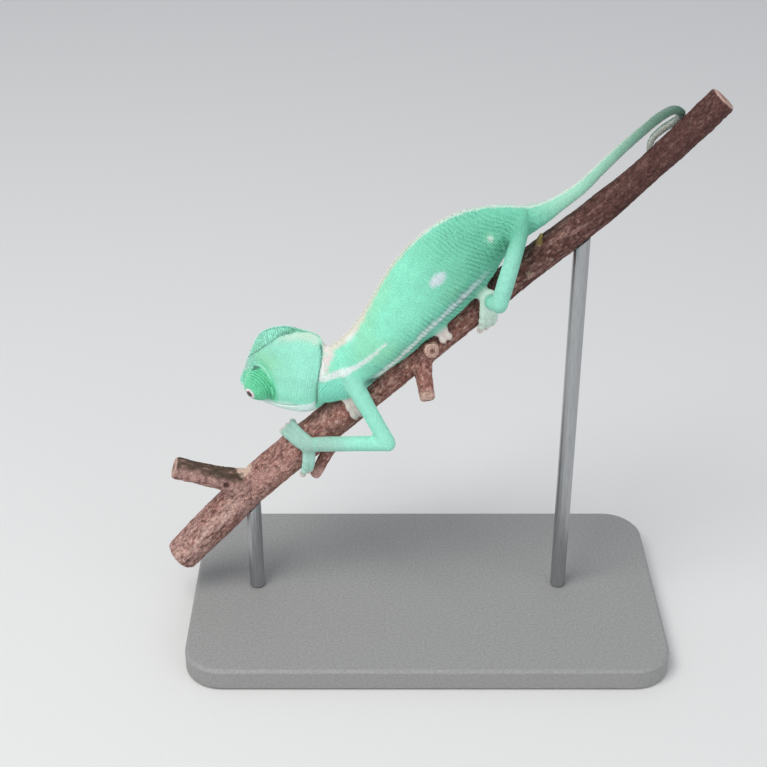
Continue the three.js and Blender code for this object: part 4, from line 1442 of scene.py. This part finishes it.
def kept_apart(points, rooms, crowding):
    """Which points stay when each in turn drives off the later ones that are too near it."""
    first, second, apart = close_pairs(points, rooms.max() * crowding)
    low, high = np.minimum(first, second), np.maximum(first, second)
    close = apart < 0.5 * crowding * (rooms[low] + rooms[high])
    low, high = low[close], high[close]
    alive = np.ones(len(points), bool)
    picked = np.zeros(len(points), bool)
    while alive.any():
        blocked = np.zeros(len(points), bool)
        blocked[high] = True
        pick = alive & ~blocked
        picked |= pick
        alive &= ~pick
        alive[high[pick[low]]] = False
        keep = alive[low] & alive[high]
        low, high = low[keep], high[keep]
    return picked


def eased(points, rooms, free):
    """The free points pushed apart over the skin."""
    for _ in range(6):
        first, second, apart = close_pairs(points, rooms.max() * 1.3)
        wanted = 0.53 * (rooms[first] + rooms[second])
        tight = (apart < wanted) & (free[first] | free[second])
        first, second, apart, wanted = first[tight], second[tight], apart[tight], wanted[tight]
        strength = 0.28 * (wanted - apart) / np.maximum(apart, 1e-6)
        push = strength[:, None] * (points[first] - points[second])
        shift = summed(first, push, len(points)) - summed(second, push, len(points))
        points[free] = put_on(tree, points[free] + shift[free])
    return points


def own_radius(points, rooms):
    """Half the mean distance from each scale to its nearest few."""
    first, second, apart = close_pairs(points, 1.6 * rooms.max())
    site = np.concatenate([first, second])
    far = np.concatenate([apart, apart])
    order = np.lexsort((far, site))
    site, far = site[order], far[order]
    start = np.searchsorted(site, np.arange(len(points)))
    rank = np.arange(len(site)) - start[site]
    near = rank < 5
    total = np.bincount(site[near], far[near], len(points))
    return 0.5 * total / np.maximum(np.bincount(site[near], minlength=len(points)), 1)


SIDES = 6  # of each scale
TURNS = turns(SIDES)


def outline(radius, height, back):
    """A ring of a scale: lengthwise, across, upward."""
    return np.stack([radius * np.cos(TURNS) + back, radius * np.sin(TURNS), np.full(SIDES, height)], 1)


DOME = np.vstack([outline(1.0, 0.0, 0.0), outline(0.68, 0.78, 0.1), [[0.16, 0.0, 1.0]]])
CONE = np.vstack([outline(1.0, 0.0, 0.0), outline(0.5, 0.5, 0.12), [[0.3, 0.0, 1.0]]])


def scale_faces():
    """Triangles of one closed scale: sides, top and underside."""
    k = np.arange(SIDES)
    after = (k + 1) % SIDES
    sides = [np.stack([k, after, SIDES + after], 1), np.stack([k, SIDES + after, SIDES + k], 1)]
    top = np.stack([SIDES + k, SIDES + after, np.full(SIDES, 2 * SIDES)], 1)
    under = np.stack([np.zeros(SIDES - 2, int), k[2:], k[1:-1]], 1)
    return np.vstack(sides + [top, under])


def scale_mesh(name, sites, chart, tangents, normals):
    """One mesh of many scales, each tinted as the skin at its root with painted shading, and mapped to a
    small patch there.
    """
    across = np.cross(normals, tangents)
    sharp = sites["sharp"][:, None, None]
    shape = (1 - sharp) * DOME + sharp * CONE
    long = sites["radius"] * 1.1
    high = shape[..., 2] * (sites["height"] + ROOT_DEPTH)[:, None] - ROOT_DEPTH
    points = (sites["point"][:, None] + shape[..., :1] * (long[:, None] * tangents)[:, None]
              + shape[..., 1:2] * (sites["radius"][:, None] * across)[:, None]
              + high[..., None] * normals[:, None])
    each = shape.shape[1]
    faces = scale_faces() + each * np.arange(len(points))[:, None, None]
    thing = make_mesh(name, points.reshape(-1, 3), faces.reshape(-1, 3))
    # painted shading: each scale darker at its root and lighter at its top
    light = np.repeat(SCALE_PAINTED_SHADING, (SIDES, SIDES, 1))
    tint = np.clip(sites["tint"][:, None] * light[:, None], 0, 1)
    paint(thing, tint.reshape(-1, 3))
    spot = (chart[:, None] + 0.5 * PATCH * shape[..., :2]).reshape(-1, 2)
    layer = thing.data.uv_layers.new(name="OFBake")
    layer.uv.foreach_set("vector", spot[faces.ravel()].astype(np.float32).ravel())
    return thing


def paint(thing, tint):
    """Colours at the vertices, in linear light, as the attribute that the materials read."""
    layer = thing.data.attributes.new("tint", "FLOAT_COLOR", "POINT")
    full = np.column_stack([tint, np.ones(len(tint))])
    layer.data.foreach_set("color", full.astype(np.float32).ravel())


# ---- the coat's pieces and their maps: each unrolls the skin that its scales stand on ----
def stretched(across, up, strip=0, strips=1):
    """A map's two directions stretched over a strip of the unit square."""
    made = []
    for values in (across, up):
        low, high = values.min(), values.max()
        made.append(0.01 + 0.98 * (values - low) / max(high - low, 1e-9))
    return np.stack([made[0], (strip + 0.02 + 0.96 * made[1]) / strips], 1)


def half_head_map(points):
    """Half the head laid out flat from the middle of its side."""
    ahead, out, up = head_axes(points)
    local = np.stack([ahead - 9.5, np.abs(out), up - 8.5], 1)
    angle = np.arccos(np.clip(local[:, 1] / np.linalg.norm(local, axis=1), -1, 1))
    flat = local[:, [0, 2]] / np.maximum(np.linalg.norm(local[:, [0, 2]], axis=1), 1e-9)[:, None]
    return stretched(angle * flat[:, 0], angle * flat[:, 1])


def flank_map(points):
    """One side of the trunk unrolled round its long middle."""
    along = points @ BODY_AXIS
    middle = np.interp(along, [20, 30, 40, 57, 68, 75, 84], [56, 55.5, 55.4, 56.2, 57, 55.5, 53.5])
    return stretched(along, np.arctan2(points @ BODY_UP - middle, np.abs(points[:, 1])))


def tube_map(points, _, strip, strips):
    """A length of limb or tail unrolled round its own axis; its node isn't needed for that."""
    middle, axis = long_axis(points)
    side = unit(np.cross(axis, UP))
    local = points - middle
    return stretched(local @ axis, np.arctan2(local @ side, local @ np.cross(side, axis)), strip, strips)


def foot_map(points, foot, strip, strips):
    """A foot unrolled round the twig, its sole beside its back."""
    strip, strips = 2 * strip, 2 * strips
    along, degrees, far = twig.around(points)
    made = np.zeros((len(points), 2))
    inner = far < np.median(far)
    for turn, mine in enumerate((inner, ~inner)):
        middle = FEET[foot][0][1]
        made[mine] = stretched(along[mine], turned(degrees[mine], middle), strip + turn, strips)
    return made


def settled(scales, fixed):
    """All the scales with none too close together, and the ordinary ones as wide as their room."""
    sites = scales.joined()
    picked = kept_apart(sites["point"], ROOM * sites["radius"], CROWDING)
    free = (np.arange(len(picked)) >= fixed)[picked]
    sites = {key: values[picked] for key, values in sites.items()}
    rooms = ROOM * sites["radius"]
    points = eased(sites["point"], rooms, free)
    sites["point"], sites["face"], sites["share"] = surface.read(points)
    ordinary = sites["ordinary"] > 0
    radius = np.clip(own_radius(sites["point"], rooms), 0.36 * rooms, 0.56 * rooms)
    sites["radius"] = np.where(ordinary, radius, sites["radius"])
    return sites


def all_scales():
    """The scales of the rows, then the strewn ones in the room between them, settled."""
    scales = Scales()
    for add_rows in (back_rows, head_rows, turret_rows, even_rows):
        add_rows(scales)
    fixed = len(scales.joined()["point"])
    strewn(scales, 5)
    return settled(scales, fixed)


# The pieces of the coat of tail, legs and feet, by the word in the names of their nodes.
LIMB_PIECES = {
    "scales_tail": "tail", "scales_forelegs": "foreleg", "scales_hindlegs": "hindleg",
    "scales_forefeet": "forefoot", "scales_hindfeet": "hindfoot",
}


def pieces_of(points, node, kind):
    """The coat's pieces: each one's name, which scales it has, and where these lie on its map."""
    _, out, _ = head_axes(points)
    head = are_kinds(kind, ("head", "eye"))
    torso = are_kinds(kind, ("neck", "trunk"))
    front = points @ BODY_AXIS < COAT_CUT
    made = []
    for part, mine, unrolled, left in (
            ("head", head, half_head_map, out > 0), ("front", torso & front, flank_map, points[:, 1] < 0),
            ("rear", torso & ~front, flank_map, points[:, 1] < 0)):
        for side, on_side in (("left", left), ("right", ~left)):
            chosen = mine & on_side
            made.append((f"scales_{part}_{side}", chosen, unrolled(points[chosen])))
    names = np.array(flesh.nodes)[node]
    for piece, word in LIMB_PIECES.items():
        nodes = flesh.named(word)
        chart = np.zeros((len(points), 2))
        for strip, member in enumerate(nodes):
            own = names == member
            unrolled = foot_map if member in FEET else tube_map
            chart[own] = unrolled(points[own], member, strip, len(nodes))
        mine = np.isin(names, nodes)
        made.append((piece, mine, chart[mine]))
    return made


def make_coat():
    """All the scales as pieces of solid mesh."""
    sites = all_scales()
    rng = np.random.default_rng(9)
    root = (sites["face"], sites["share"])
    uneven = 0.05 + surface.at(0.08 * surface.knobbly + 0.07 * body.share("eye"), *root)
    sites["tint"] = sites["tint"] * (1 + uneven * rng.normal(0, 1, len(uneven)))[:, None]
    normals = unit(surface.at(surface.normals, *root))
    lie = surface.at(surface.lie, *root)
    tangents = unit(lie - (lie * normals).sum(1)[:, None] * normals)
    corner = body.triangles[sites["face"], 0]
    coat = []
    for name, mine, chart in pieces_of(sites["point"], body.node[corner], body.kind[corner]):
        own = {key: values[mine] for key, values in sites.items()}
        coat.append(scale_mesh(name, own, chart, tangents[mine], normals[mine]))
    return coat


surface = Surface(body)
skin = make_mesh("skin", body.points, body.triangles)
# painted shade: the skin between the scales is tinted darker than they are, most on the knobbly roof
paint(skin, surface.tint * (0.88 - 0.2 * surface.knobbly)[:, None])
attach(skin, "root")
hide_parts(*FLESH)
coat = make_coat()
for piece in coat:
    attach(piece, "root")


# ---- eyes and claws ----
PUPIL = math.radians(22)  # half angles seen from the eyeball's middle
IRIS = math.radians(37)
IRIS_BROWN = srgb(72, 44, 34)
IRIS_GOLD = srgb(140, 96, 62)
PUPIL_BLACK = srgb(10, 8, 8)
CLAW_ROOT_TINT = srgb(196, 176, 160)
CLAW_TIP_TINT = srgb(96, 74, 62)


# Degrees from the gaze to each ring of the eyeball's mesh, closest at the edges of pupil and iris.
BALL_RINGS = (
    3, 8, 13, 17, 20, 21.6, 22.4, 24, 26, 29, 32, 35, 36.6, 37.6, 40, 46, 54, 64, 78, 95, 115, 140, 165)
CORNEA = 0.07  # how far it stands out from the ball


def make_eyeball(name, side):
    """A ball round the gaze with a slight cornea, a black pupil, a very dark iris and painted shade beyond
    it, inside the turret.
    """
    rings = np.radians(BALL_RINGS)
    sides = 40
    turn = turns(sides)
    ahead = gaze(side)
    across = unit(np.cross(ahead, UP))
    over = np.cross(ahead, across)
    middle = turret_middle(side) + BALL["depth"] * ahead
    radius = BALL["radius"] + CORNEA * (1 - ramp(rings, math.radians(20), math.radians(42)))
    ways = (np.cos(rings)[:, None, None] * ahead + np.sin(rings)[:, None, None] * (
        np.cos(turn)[:, None] * across + np.sin(turn)[:, None] * over))
    points = (middle + radius[:, None, None] * ways).reshape(-1, 3)
    poles = [middle + (BALL["radius"] + CORNEA) * ahead, middle - BALL["radius"] * ahead]
    thing = make_mesh(name, np.vstack([points, poles]), closed_rings(len(rings), sides))
    angle = np.concatenate([np.repeat(rings, sides), [0, math.pi]])
    around = np.concatenate([np.tile(turn, len(rings)), [0, 0]])
    streak = 0.5 + 0.5 * np.sin(around * 9 + 3 * np.sin(angle * 20))
    tint = mix(IRIS_BROWN, IRIS_GOLD, 0.28 * streak * (1 - ramp(angle, PUPIL + 0.03, IRIS)))
    tint = mix(tint, PUPIL_BLACK, 1 - ramp(angle, PUPIL - 0.01, PUPIL + 0.01))
    # painted shade: the ball dark beyond the iris, inside the turret
    tint = mix(tint, RECESS_SHADE, ramp(angle, IRIS - 0.01, IRIS + 0.02))
    paint(thing, tint)
    return thing


def claw_points(line, share, sides):
    """The rings and poles of one claw, bent from the end of its toe's line to the bark."""
    (before, _), (end, _) = line[-2:]
    ahead = unit(end - before)
    index = np.argmin(np.linalg.norm(twig.line[:, :3] - end, axis=1))
    down = twig.line[index, :3] - end
    down = unit(down - (down @ ahead) * ahead)
    across = np.cross(ahead, down)
    turn = turns(sides)
    middle = end + np.outer(0.15 + 1.2 * share, ahead) + np.outer(0.32 * share ** 2 - 0.12, down)
    radius = 0.27 * (1 - share) ** 0.8 + 0.03
    rings = (middle[:, None] + radius[:, None, None] * (
        np.cos(turn)[:, None] * across + 1.25 * np.sin(turn)[:, None] * down))
    return np.vstack([rings.reshape(-1, 3), middle[0] - 0.1 * ahead, middle[-1] + 0.05 * ahead])


def make_claws():
    """A curved horn cone at the end of each toe."""
    rings, sides = 8, 10
    share = np.linspace(0, 1, rings)
    points = [claw_points(line, share, sides) for foot in FEET for line in toes_of(foot)]
    faces = [closed_rings(rings, sides) + turn * len(points[0]) for turn in range(len(points))]
    tint = mix(CLAW_ROOT_TINT, CLAW_TIP_TINT, ramp(share, 0.2, 0.9))
    one = np.vstack([np.repeat(tint, sides, axis=0), CLAW_ROOT_TINT, CLAW_TIP_TINT])
    thing = make_mesh("claws", np.vstack(points), np.vstack(faces))
    paint(thing, np.tile(one, (len(points), 1)))
    return thing


eyeballs = []
for name, side in (("eyeball_left", 1), ("eyeball_right", -1)):
    eyeball = make_eyeball(name, side)
    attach(eyeball, "root")
    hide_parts("eye_left" if side > 0 else "eye_right")
    eyeballs.append(eyeball)
claws = make_claws()
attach(claws, "root")


# ---- materials ----
class Finish:
    """A material whose fine grain sets its tone, its roughness and its relief."""

    def __init__(self, name, grain, detail, stretch=None):
        self.made = bpy.data.materials.new(name)
        self.made.use_nodes = True
        self.shader = self.made.node_tree.nodes["Principled BSDF"]
        self.fine = self.node("TexNoise", {"Scale": 1 / (grain * MM), "Detail": detail})
        place = self.node("TexCoord").outputs["Object"]
        if stretch:
            drawn = self.node("Mapping", {"Scale": stretch})
            self.link(place, drawn, "Vector")
            place = drawn.outputs["Vector"]
        self.link(place, self.fine, "Vector")

    def node(self, kind, values=()):
        """A new node of a kind, with values for its inputs."""
        made = self.made.node_tree.nodes.new("ShaderNode" + kind)
        self.give(made, values)
        return made

    def give(self, node, values):
        """Puts values into a node's inputs."""
        for key in values:
            node.inputs[key].default_value = values[key]

    def link(self, output, node, key):
        """Joins an output to a node's input."""
        self.made.node_tree.links.new(output, node.inputs[key])

    def add_roughness(self, low, high):
        """Roughness between two values, by the grain."""
        rough = self.node("MapRange", {"To Min": low, "To Max": high})
        self.link(self.fine.outputs["Fac"], rough, "Value")
        self.link(rough.outputs["Result"], self.shader, "Roughness")

    def add_relief(self, strength, depth):
        """Small bumps, by the grain."""
        bump = self.node("Bump", {"Strength": strength, "Distance": depth * MM})
        self.link(self.fine.outputs["Fac"], bump, "Height")
        self.link(bump.outputs["Normal"], self.shader, "Normal")


GRAIN_RANGE = (0.3, 0.7)  # the part of the noise's range that most of it fills


def tinted(name, roughness, grain, depth, coat_weight=0.0, soft=0.0, specular=0.5, contrast=0.14):
    """A material coloured by the tint at the vertices, broken up by fine grain, with small bumps."""
    finish = Finish(name, grain, 3)
    tint = finish.node("Attribute")
    tint.attribute_name = "tint"
    tone = finish.node("MapRange", {
        "From Min": GRAIN_RANGE[0], "From Max": GRAIN_RANGE[1],
        "To Min": 1 - contrast, "To Max": 1 + contrast})
    finish.link(finish.fine.outputs["Fac"], tone, "Value")
    toned = finish.node("VectorMath")
    toned.operation = "SCALE"
    finish.link(tint.outputs["Color"], toned, 0)
    finish.link(tone.outputs["Result"], toned, "Scale")
    finish.link(toned.outputs["Vector"], finish.shader, "Base Color")
    finish.add_roughness(roughness - 0.08, roughness + 0.1)
    finish.add_relief(0.4, depth)
    finish.give(finish.shader, {
        "Coat Weight": coat_weight, "Coat Roughness": 0.04,
        "Subsurface Weight": soft, "Subsurface Radius": (0.7, 1.0, 0.8), "Subsurface Scale": 0.6 * MM,
        "Specular IOR Level": specular})
    return finish.made


skin_finish = tinted("skin", 0.55, 0.18, 0.02, soft=0.1, specular=0.4, contrast=0.08)
for piece in [skin] + coat:
    piece.data.materials.append(skin_finish)
eye_finish = tinted("eye", 0.3, 0.1, 0.002, coat_weight=1.0)
for eyeball in eyeballs:
    eyeball.data.materials.append(eye_finish)
claws.data.materials.append(tinted("horn", 0.4, 0.15, 0.01, coat_weight=0.2))


# ---- bark ----
BARK_PINK = srgb(168, 132, 124)
BARK_RED = srgb(150, 104, 94)
# the bark's own darker brown, also laid as painted shade towards the twig's upper end
DARK_BARK_AND_SHADE = srgb(84, 56, 52)
CRACK = srgb(62, 38, 34)
FLECK = srgb(196, 158, 146)
SCAR = srgb(212, 186, 168)
PITH = srgb(92, 52, 48)
WEATHERED = srgb(72, 60, 48)
BARK_PALE = srgb(208, 180, 168)
BUD_OLIVE = srgb(140, 124, 72)
BUD_PINK = srgb(200, 160, 152)


SCAR_PLACE = (-37.8, 0.6, 35.1)  # a pale scar above the stub
HOLLOW = (-41.6, -2.8, 33.1)  # a small hole under it
PEELED = SHOOTS[2][1]  # the cut shoot whose end is bare of bark


class Bark:
    """The twig with its shoots as one surface, with what is known at each of its points."""

    def __init__(self):
        points, quads = remeshed(*welded("perch"), BARK_VOXEL)
        self.points = Net(quads).evened(points, 30, np.ones(len(points)))
        self.triangles = halves(quads)
        self.normals = point_normals(self.points, self.triangles)
        along, self.degrees, self.far = twig.around(self.points)
        radians = np.radians(self.degrees)
        self.radius = twig.at_x(self.points[:, 0])[1]
        self.grain = np.stack([along, self.far * np.cos(radians), self.far * np.sin(radians)], 1)
        self.stem = np.ones(len(points))
        self.cut, self.bud, self.collar, self.core = np.zeros((4, len(points)))
        for shoot in SHOOTS:
            self.add_shoot(*shoot)
        for end, way in ((twig.line[0], -twig.way[0]), (twig.line[-1], twig.way[-1])):
            local = self.points - end[:3]
            face = self.cut_face(local @ way, 0.0, way)
            self.cut = np.maximum(self.cut, face)
            self.core = np.where(face > 0, np.linalg.norm(local, axis=1), self.core)
        self.fibres = self.noise(1.7, 0.42, 51)
        self.fissure = bell(self.fibres, 0.16) * ramp(self.noise(5.0, 2.0, 52), -0.6, 0.3)
        self.flakes = self.noise(0.6, 0.36, 53)
        self.warts = ramp(self.noise(0.55, 0.45, 55), 0.5, 0.7)
        self.rough = 1 - np.maximum(self.cut, 0.5 * self.bud)
        self.rings = np.cos(2 * np.pi * self.core / 0.5)

    def add_shoot(self, root, end, thick, kind):
        """Notes which points are on a side shoot, on its cut end or bud, and on the collar at its root."""
        root, end = np.array(root), np.array(end)
        length = np.linalg.norm(end - root)
        way = (end - root) / length
        run = (self.points - root) @ way
        aside = self.points - root - run[:, None] * way
        off = np.linalg.norm(aside, axis=1)
        mine = (off < 1.35 * thick) & (run > 0) & (self.far > self.radius + 0.3)
        self.grain[mine] = np.column_stack([run, aside[:, 0] + off, aside[:, 1]])[mine] + 40
        self.stem[mine] = 0
        self.collar += bell(off - thick, 0.9) * bell(self.far - self.radius, 1.1) * (run > 0)
        if kind == "cut":
            self.cut = np.maximum(self.cut, self.cut_face(run, length, way) * mine)
            self.core = np.where(mine, off, self.core)
        else:
            self.bud = np.maximum(self.bud, ramp(run, length - 3.2, length - 0.8) * mine)

    def cut_face(self, run, length, way):
        """1 on the face of a cut end that looks a given way, where the run reaches the length."""
        return ramp(run, length - 0.7, length - 0.35) * ramp(self.normals @ way, 0.55, 0.8)

    def noise(self, long, wide, seed):
        """Smooth noise with lumps of a length along the fibres and a width across them."""
        return lumps(self.grain / [long, wide, wide], 1.0, seed)

    def hollowed(self):
        """Distance from the small hole."""
        return np.linalg.norm(self.points - HOLLOW, axis=1)

    def sculpted(self):
        """The points with fibrous relief, collars round the shoots and growth rings on the cut ends."""
        lift = (0.06 * self.fibres + 0.06 * self.flakes + 0.1 * self.noise(7.0, 3.0, 54)
                - 0.13 * self.fissure + 0.07 * self.warts) * self.rough
        lift += 0.1 + 0.22 * self.collar * (1 - self.cut)
        lift += self.cut * 0.05 * self.rings
        raised = self.points + lift[:, None] * self.normals
        return raised - (0.4 * bell(self.hollowed(), 0.6))[:, None] * self.normals

    def ground(self):
        """The bark's broad colours: pink at the lower end, redder and then dark towards the upper one,
        partly as painted shade.
        """
        points, x = self.points, self.points[:, 0]
        tint = mix(BARK_PINK, BARK_RED, ramp(x + 5 * lumps(points, 6.0, 56), -42, -22))
        # darker from the middle on: partly the bark's own colour, partly painted shade
        tint = mix(tint, DARK_BARK_AND_SHADE, 0.85 * ramp(x + 4 * lumps(points, 5.0, 57), 0, 12))
        red_side = ramp(self.noise(9.0, 2.2, 58), -0.1, 0.5)
        tint = mix(tint, BARK_RED, 0.65 * red_side * (1 - ramp(x, -25, -10)))
        streak = ramp(self.noise(3.2, 0.7, 59), 0.05, 0.5)
        tint = mix(tint, BARK_PINK, 0.45 * streak)
        pale_side = ramp(-x, 37, 43) * bell(turned(self.degrees, 72), 26) * self.stem
        tint = mix(tint, BARK_PALE, 0.6 * pale_side * ramp(streak + 0.4 * self.flakes, -0.3, 0.8))
        # painted shade over the upper end of the twig
        return mix(tint, DARK_BARK_AND_SHADE, 0.9 * ramp(x, 24, 38))

    def colours(self):
        """The ground with its flecks, cracks, warts, weathering, scars, buds and cut ends, and painted shade
        in the small hole.
        """
        points, x, flakes, rough = self.points, self.points[:, 0], self.flakes, self.rough
        # fewer pale flecks towards the twig's upper end, under its painted shade
        flecked = 1 - 0.7 * ramp(x, 0, 12) - 0.2 * ramp(x, 26, 38)
        tint = mix(self.ground(), FLECK, 0.6 * ramp(flakes, 0.2, 0.6) * rough * flecked)
        cracked = np.clip(0.8 * self.fissure + 0.7 * ramp(-flakes, 0.2, 0.6), 0, 1)
        tint = mix(tint, CRACK, 0.7 * cracked * rough)
        # the pale warts fade under the painted shade of the upper end
        tint = mix(tint, SCAR, 0.35 * self.warts * rough * (1 - 0.8 * ramp(x, 18, 34)))
        weathered = (1 - self.stem) * ramp(self.normals @ UP, 0.2, 0.7) * (x < -38)
        tint = mix(tint, WEATHERED, 0.95 * weathered * np.clip(0.9 + 0.5 * self.fibres, 0, 1))
        scar = np.linalg.norm((points - SCAR_PLACE) / [2.0, 2.2, 1.35], axis=1) + 0.25 * flakes
        tint = mix(tint, SCAR, 0.85 * (1 - ramp(scar, 0.8, 1.1)))
        # painted shade: the small hole filled dark
        tint = mix(tint, CRACK, 0.9 * (1 - ramp(self.hollowed(), 0.5, 0.9)))
        tint = mix(tint, mix(BUD_OLIVE, BUD_PINK, ramp(-x, -1, 1)), 0.9 * self.bud)
        wood = mix(SCAR, BARK_PINK, 0.6 + 0.4 * self.rings)
        tint = mix(tint, mix(wood, PITH, bell(self.core, 0.55)), self.cut)
        peeled = np.linalg.norm(points - PEELED, axis=1) + 0.8 * flakes
        tint = mix(tint, SCAR, 0.7 * (1 - ramp(peeled, 1.4, 2.6)) * (1 - self.cut))
        specks = self.noise(0.4, 0.3, 60)
        return np.clip(tint * (1 + 0.08 * flakes + 0.3 * specks * rough)[:, None], 0, 1)


perch = Bark()
bark = make_mesh("bark", perch.sculpted(), perch.triangles)
paint(bark, perch.colours())
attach(bark, "root")
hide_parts("perch")
bark.data.materials.append(tinted("bark", 0.8, 0.22, 0.12, specular=0.2, contrast=0.5))


# ---- stand ----
def stand_material(name, colour, roughness, metallic, grain, stretch, depth, contrast=0.14):
    """A plain finish with fine grain; stretch draws the grain out lengthwise."""
    finish = Finish(name, grain, 4, stretch)
    finish.shader.inputs["Metallic"].default_value = metallic
    tone = finish.node("ValToRGB")
    for element, position, share in zip(tone.color_ramp.elements, GRAIN_RANGE, (1 - contrast, 1 + contrast)):
        element.position = position
        element.color = (*np.minimum(colour * share, 1), 1)
    finish.link(finish.fine.outputs["Fac"], tone, "Fac")
    finish.link(tone.outputs["Color"], finish.shader, "Base Color")
    finish.add_roughness(roughness - 0.1, roughness + 0.1)
    finish.add_relief(0.5, depth)
    return finish.made


powder = stand_material("powder_coat", srgb(150, 150, 148), 0.55, 0.0, 0.5, (1, 1, 1), 0.08)
steel = stand_material("brushed_steel", srgb(176, 178, 180), 0.32, 1.0, 0.15, (1, 1, 0.04), 0.01)
for name in STAND:
    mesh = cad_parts[name].data
    mesh.materials.clear()
    mesh.materials.append(powder if name == "stand_base" else steel)


# ---- camera, light and floor ----
CAMERA_LENS = 70
CAMERA_TARGET = (-9.0, 0, 56.0)
CAMERA_TILT = math.radians(30)  # down from level
CAMERA_DISTANCE = 0.3  # metres
LIGHT_TARGET = Vector((0, 0, 0.06))
FLOOR_REACH = 600  # to each side of the middle, as far as the lights reach evenly


def aim(thing, target):
    """Turns a camera or light to look at a place."""
    thing.rotation_euler = (target - thing.location).to_track_quat("-Z", "Y").to_euler()


def make_camera():
    """The photo's view: from the animal's left side, looking down on it."""
    data = bpy.data.cameras.new("camera")
    data.lens = CAMERA_LENS
    data.sensor_width = 36
    data.clip_start = 0.01
    data.clip_end = 10
    camera = put_in_scene("camera", data)
    target = Vector(CAMERA_TARGET) * MM
    camera.location = target + Vector((0, -math.cos(CAMERA_TILT), math.sin(CAMERA_TILT))) * CAMERA_DISTANCE
    aim(camera, target)
    bpy.context.scene.camera = camera


def area_light(name, place, size, energy, colour):
    """A square lamp aimed at the model; places are in metres."""
    data = bpy.data.lights.new(name, "AREA")
    data.size = size
    data.energy = energy
    data.color = colour
    light = put_in_scene(name, data)
    light.location = place
    aim(light, LIGHT_TARGET)


make_camera()
area_light("key", (-0.25, -0.25, 0.6), 0.35, 2.7, (1.0, 0.98, 0.95))
area_light("fill", (0.5, -0.5, 0.3), 0.5, 0.7, (0.95, 0.98, 1.0))
world = bpy.data.worlds.new("studio")
bpy.context.scene.world = world
world.use_nodes = True
background = world.node_tree.nodes["Background"]
background.inputs["Color"].default_value = (0.9, 0.93, 1.0, 1)
background.inputs["Strength"].default_value = 0.58
bpy.context.scene.view_settings.view_transform = "Standard"

ground = stand_material("ground", srgb(226, 226, 224), 0.7, 0.0, 0.8, (1, 1, 1), 0.002, contrast=0.01)
corners = FLOOR_REACH * np.array([[-1, -1, 0], [1, -1, 0], [1, 1, 0], [-1, 1, 0]])
floor = make_mesh("floor", corners, np.array([[0, 1, 2, 3]]))
floor.data.materials.append(ground)
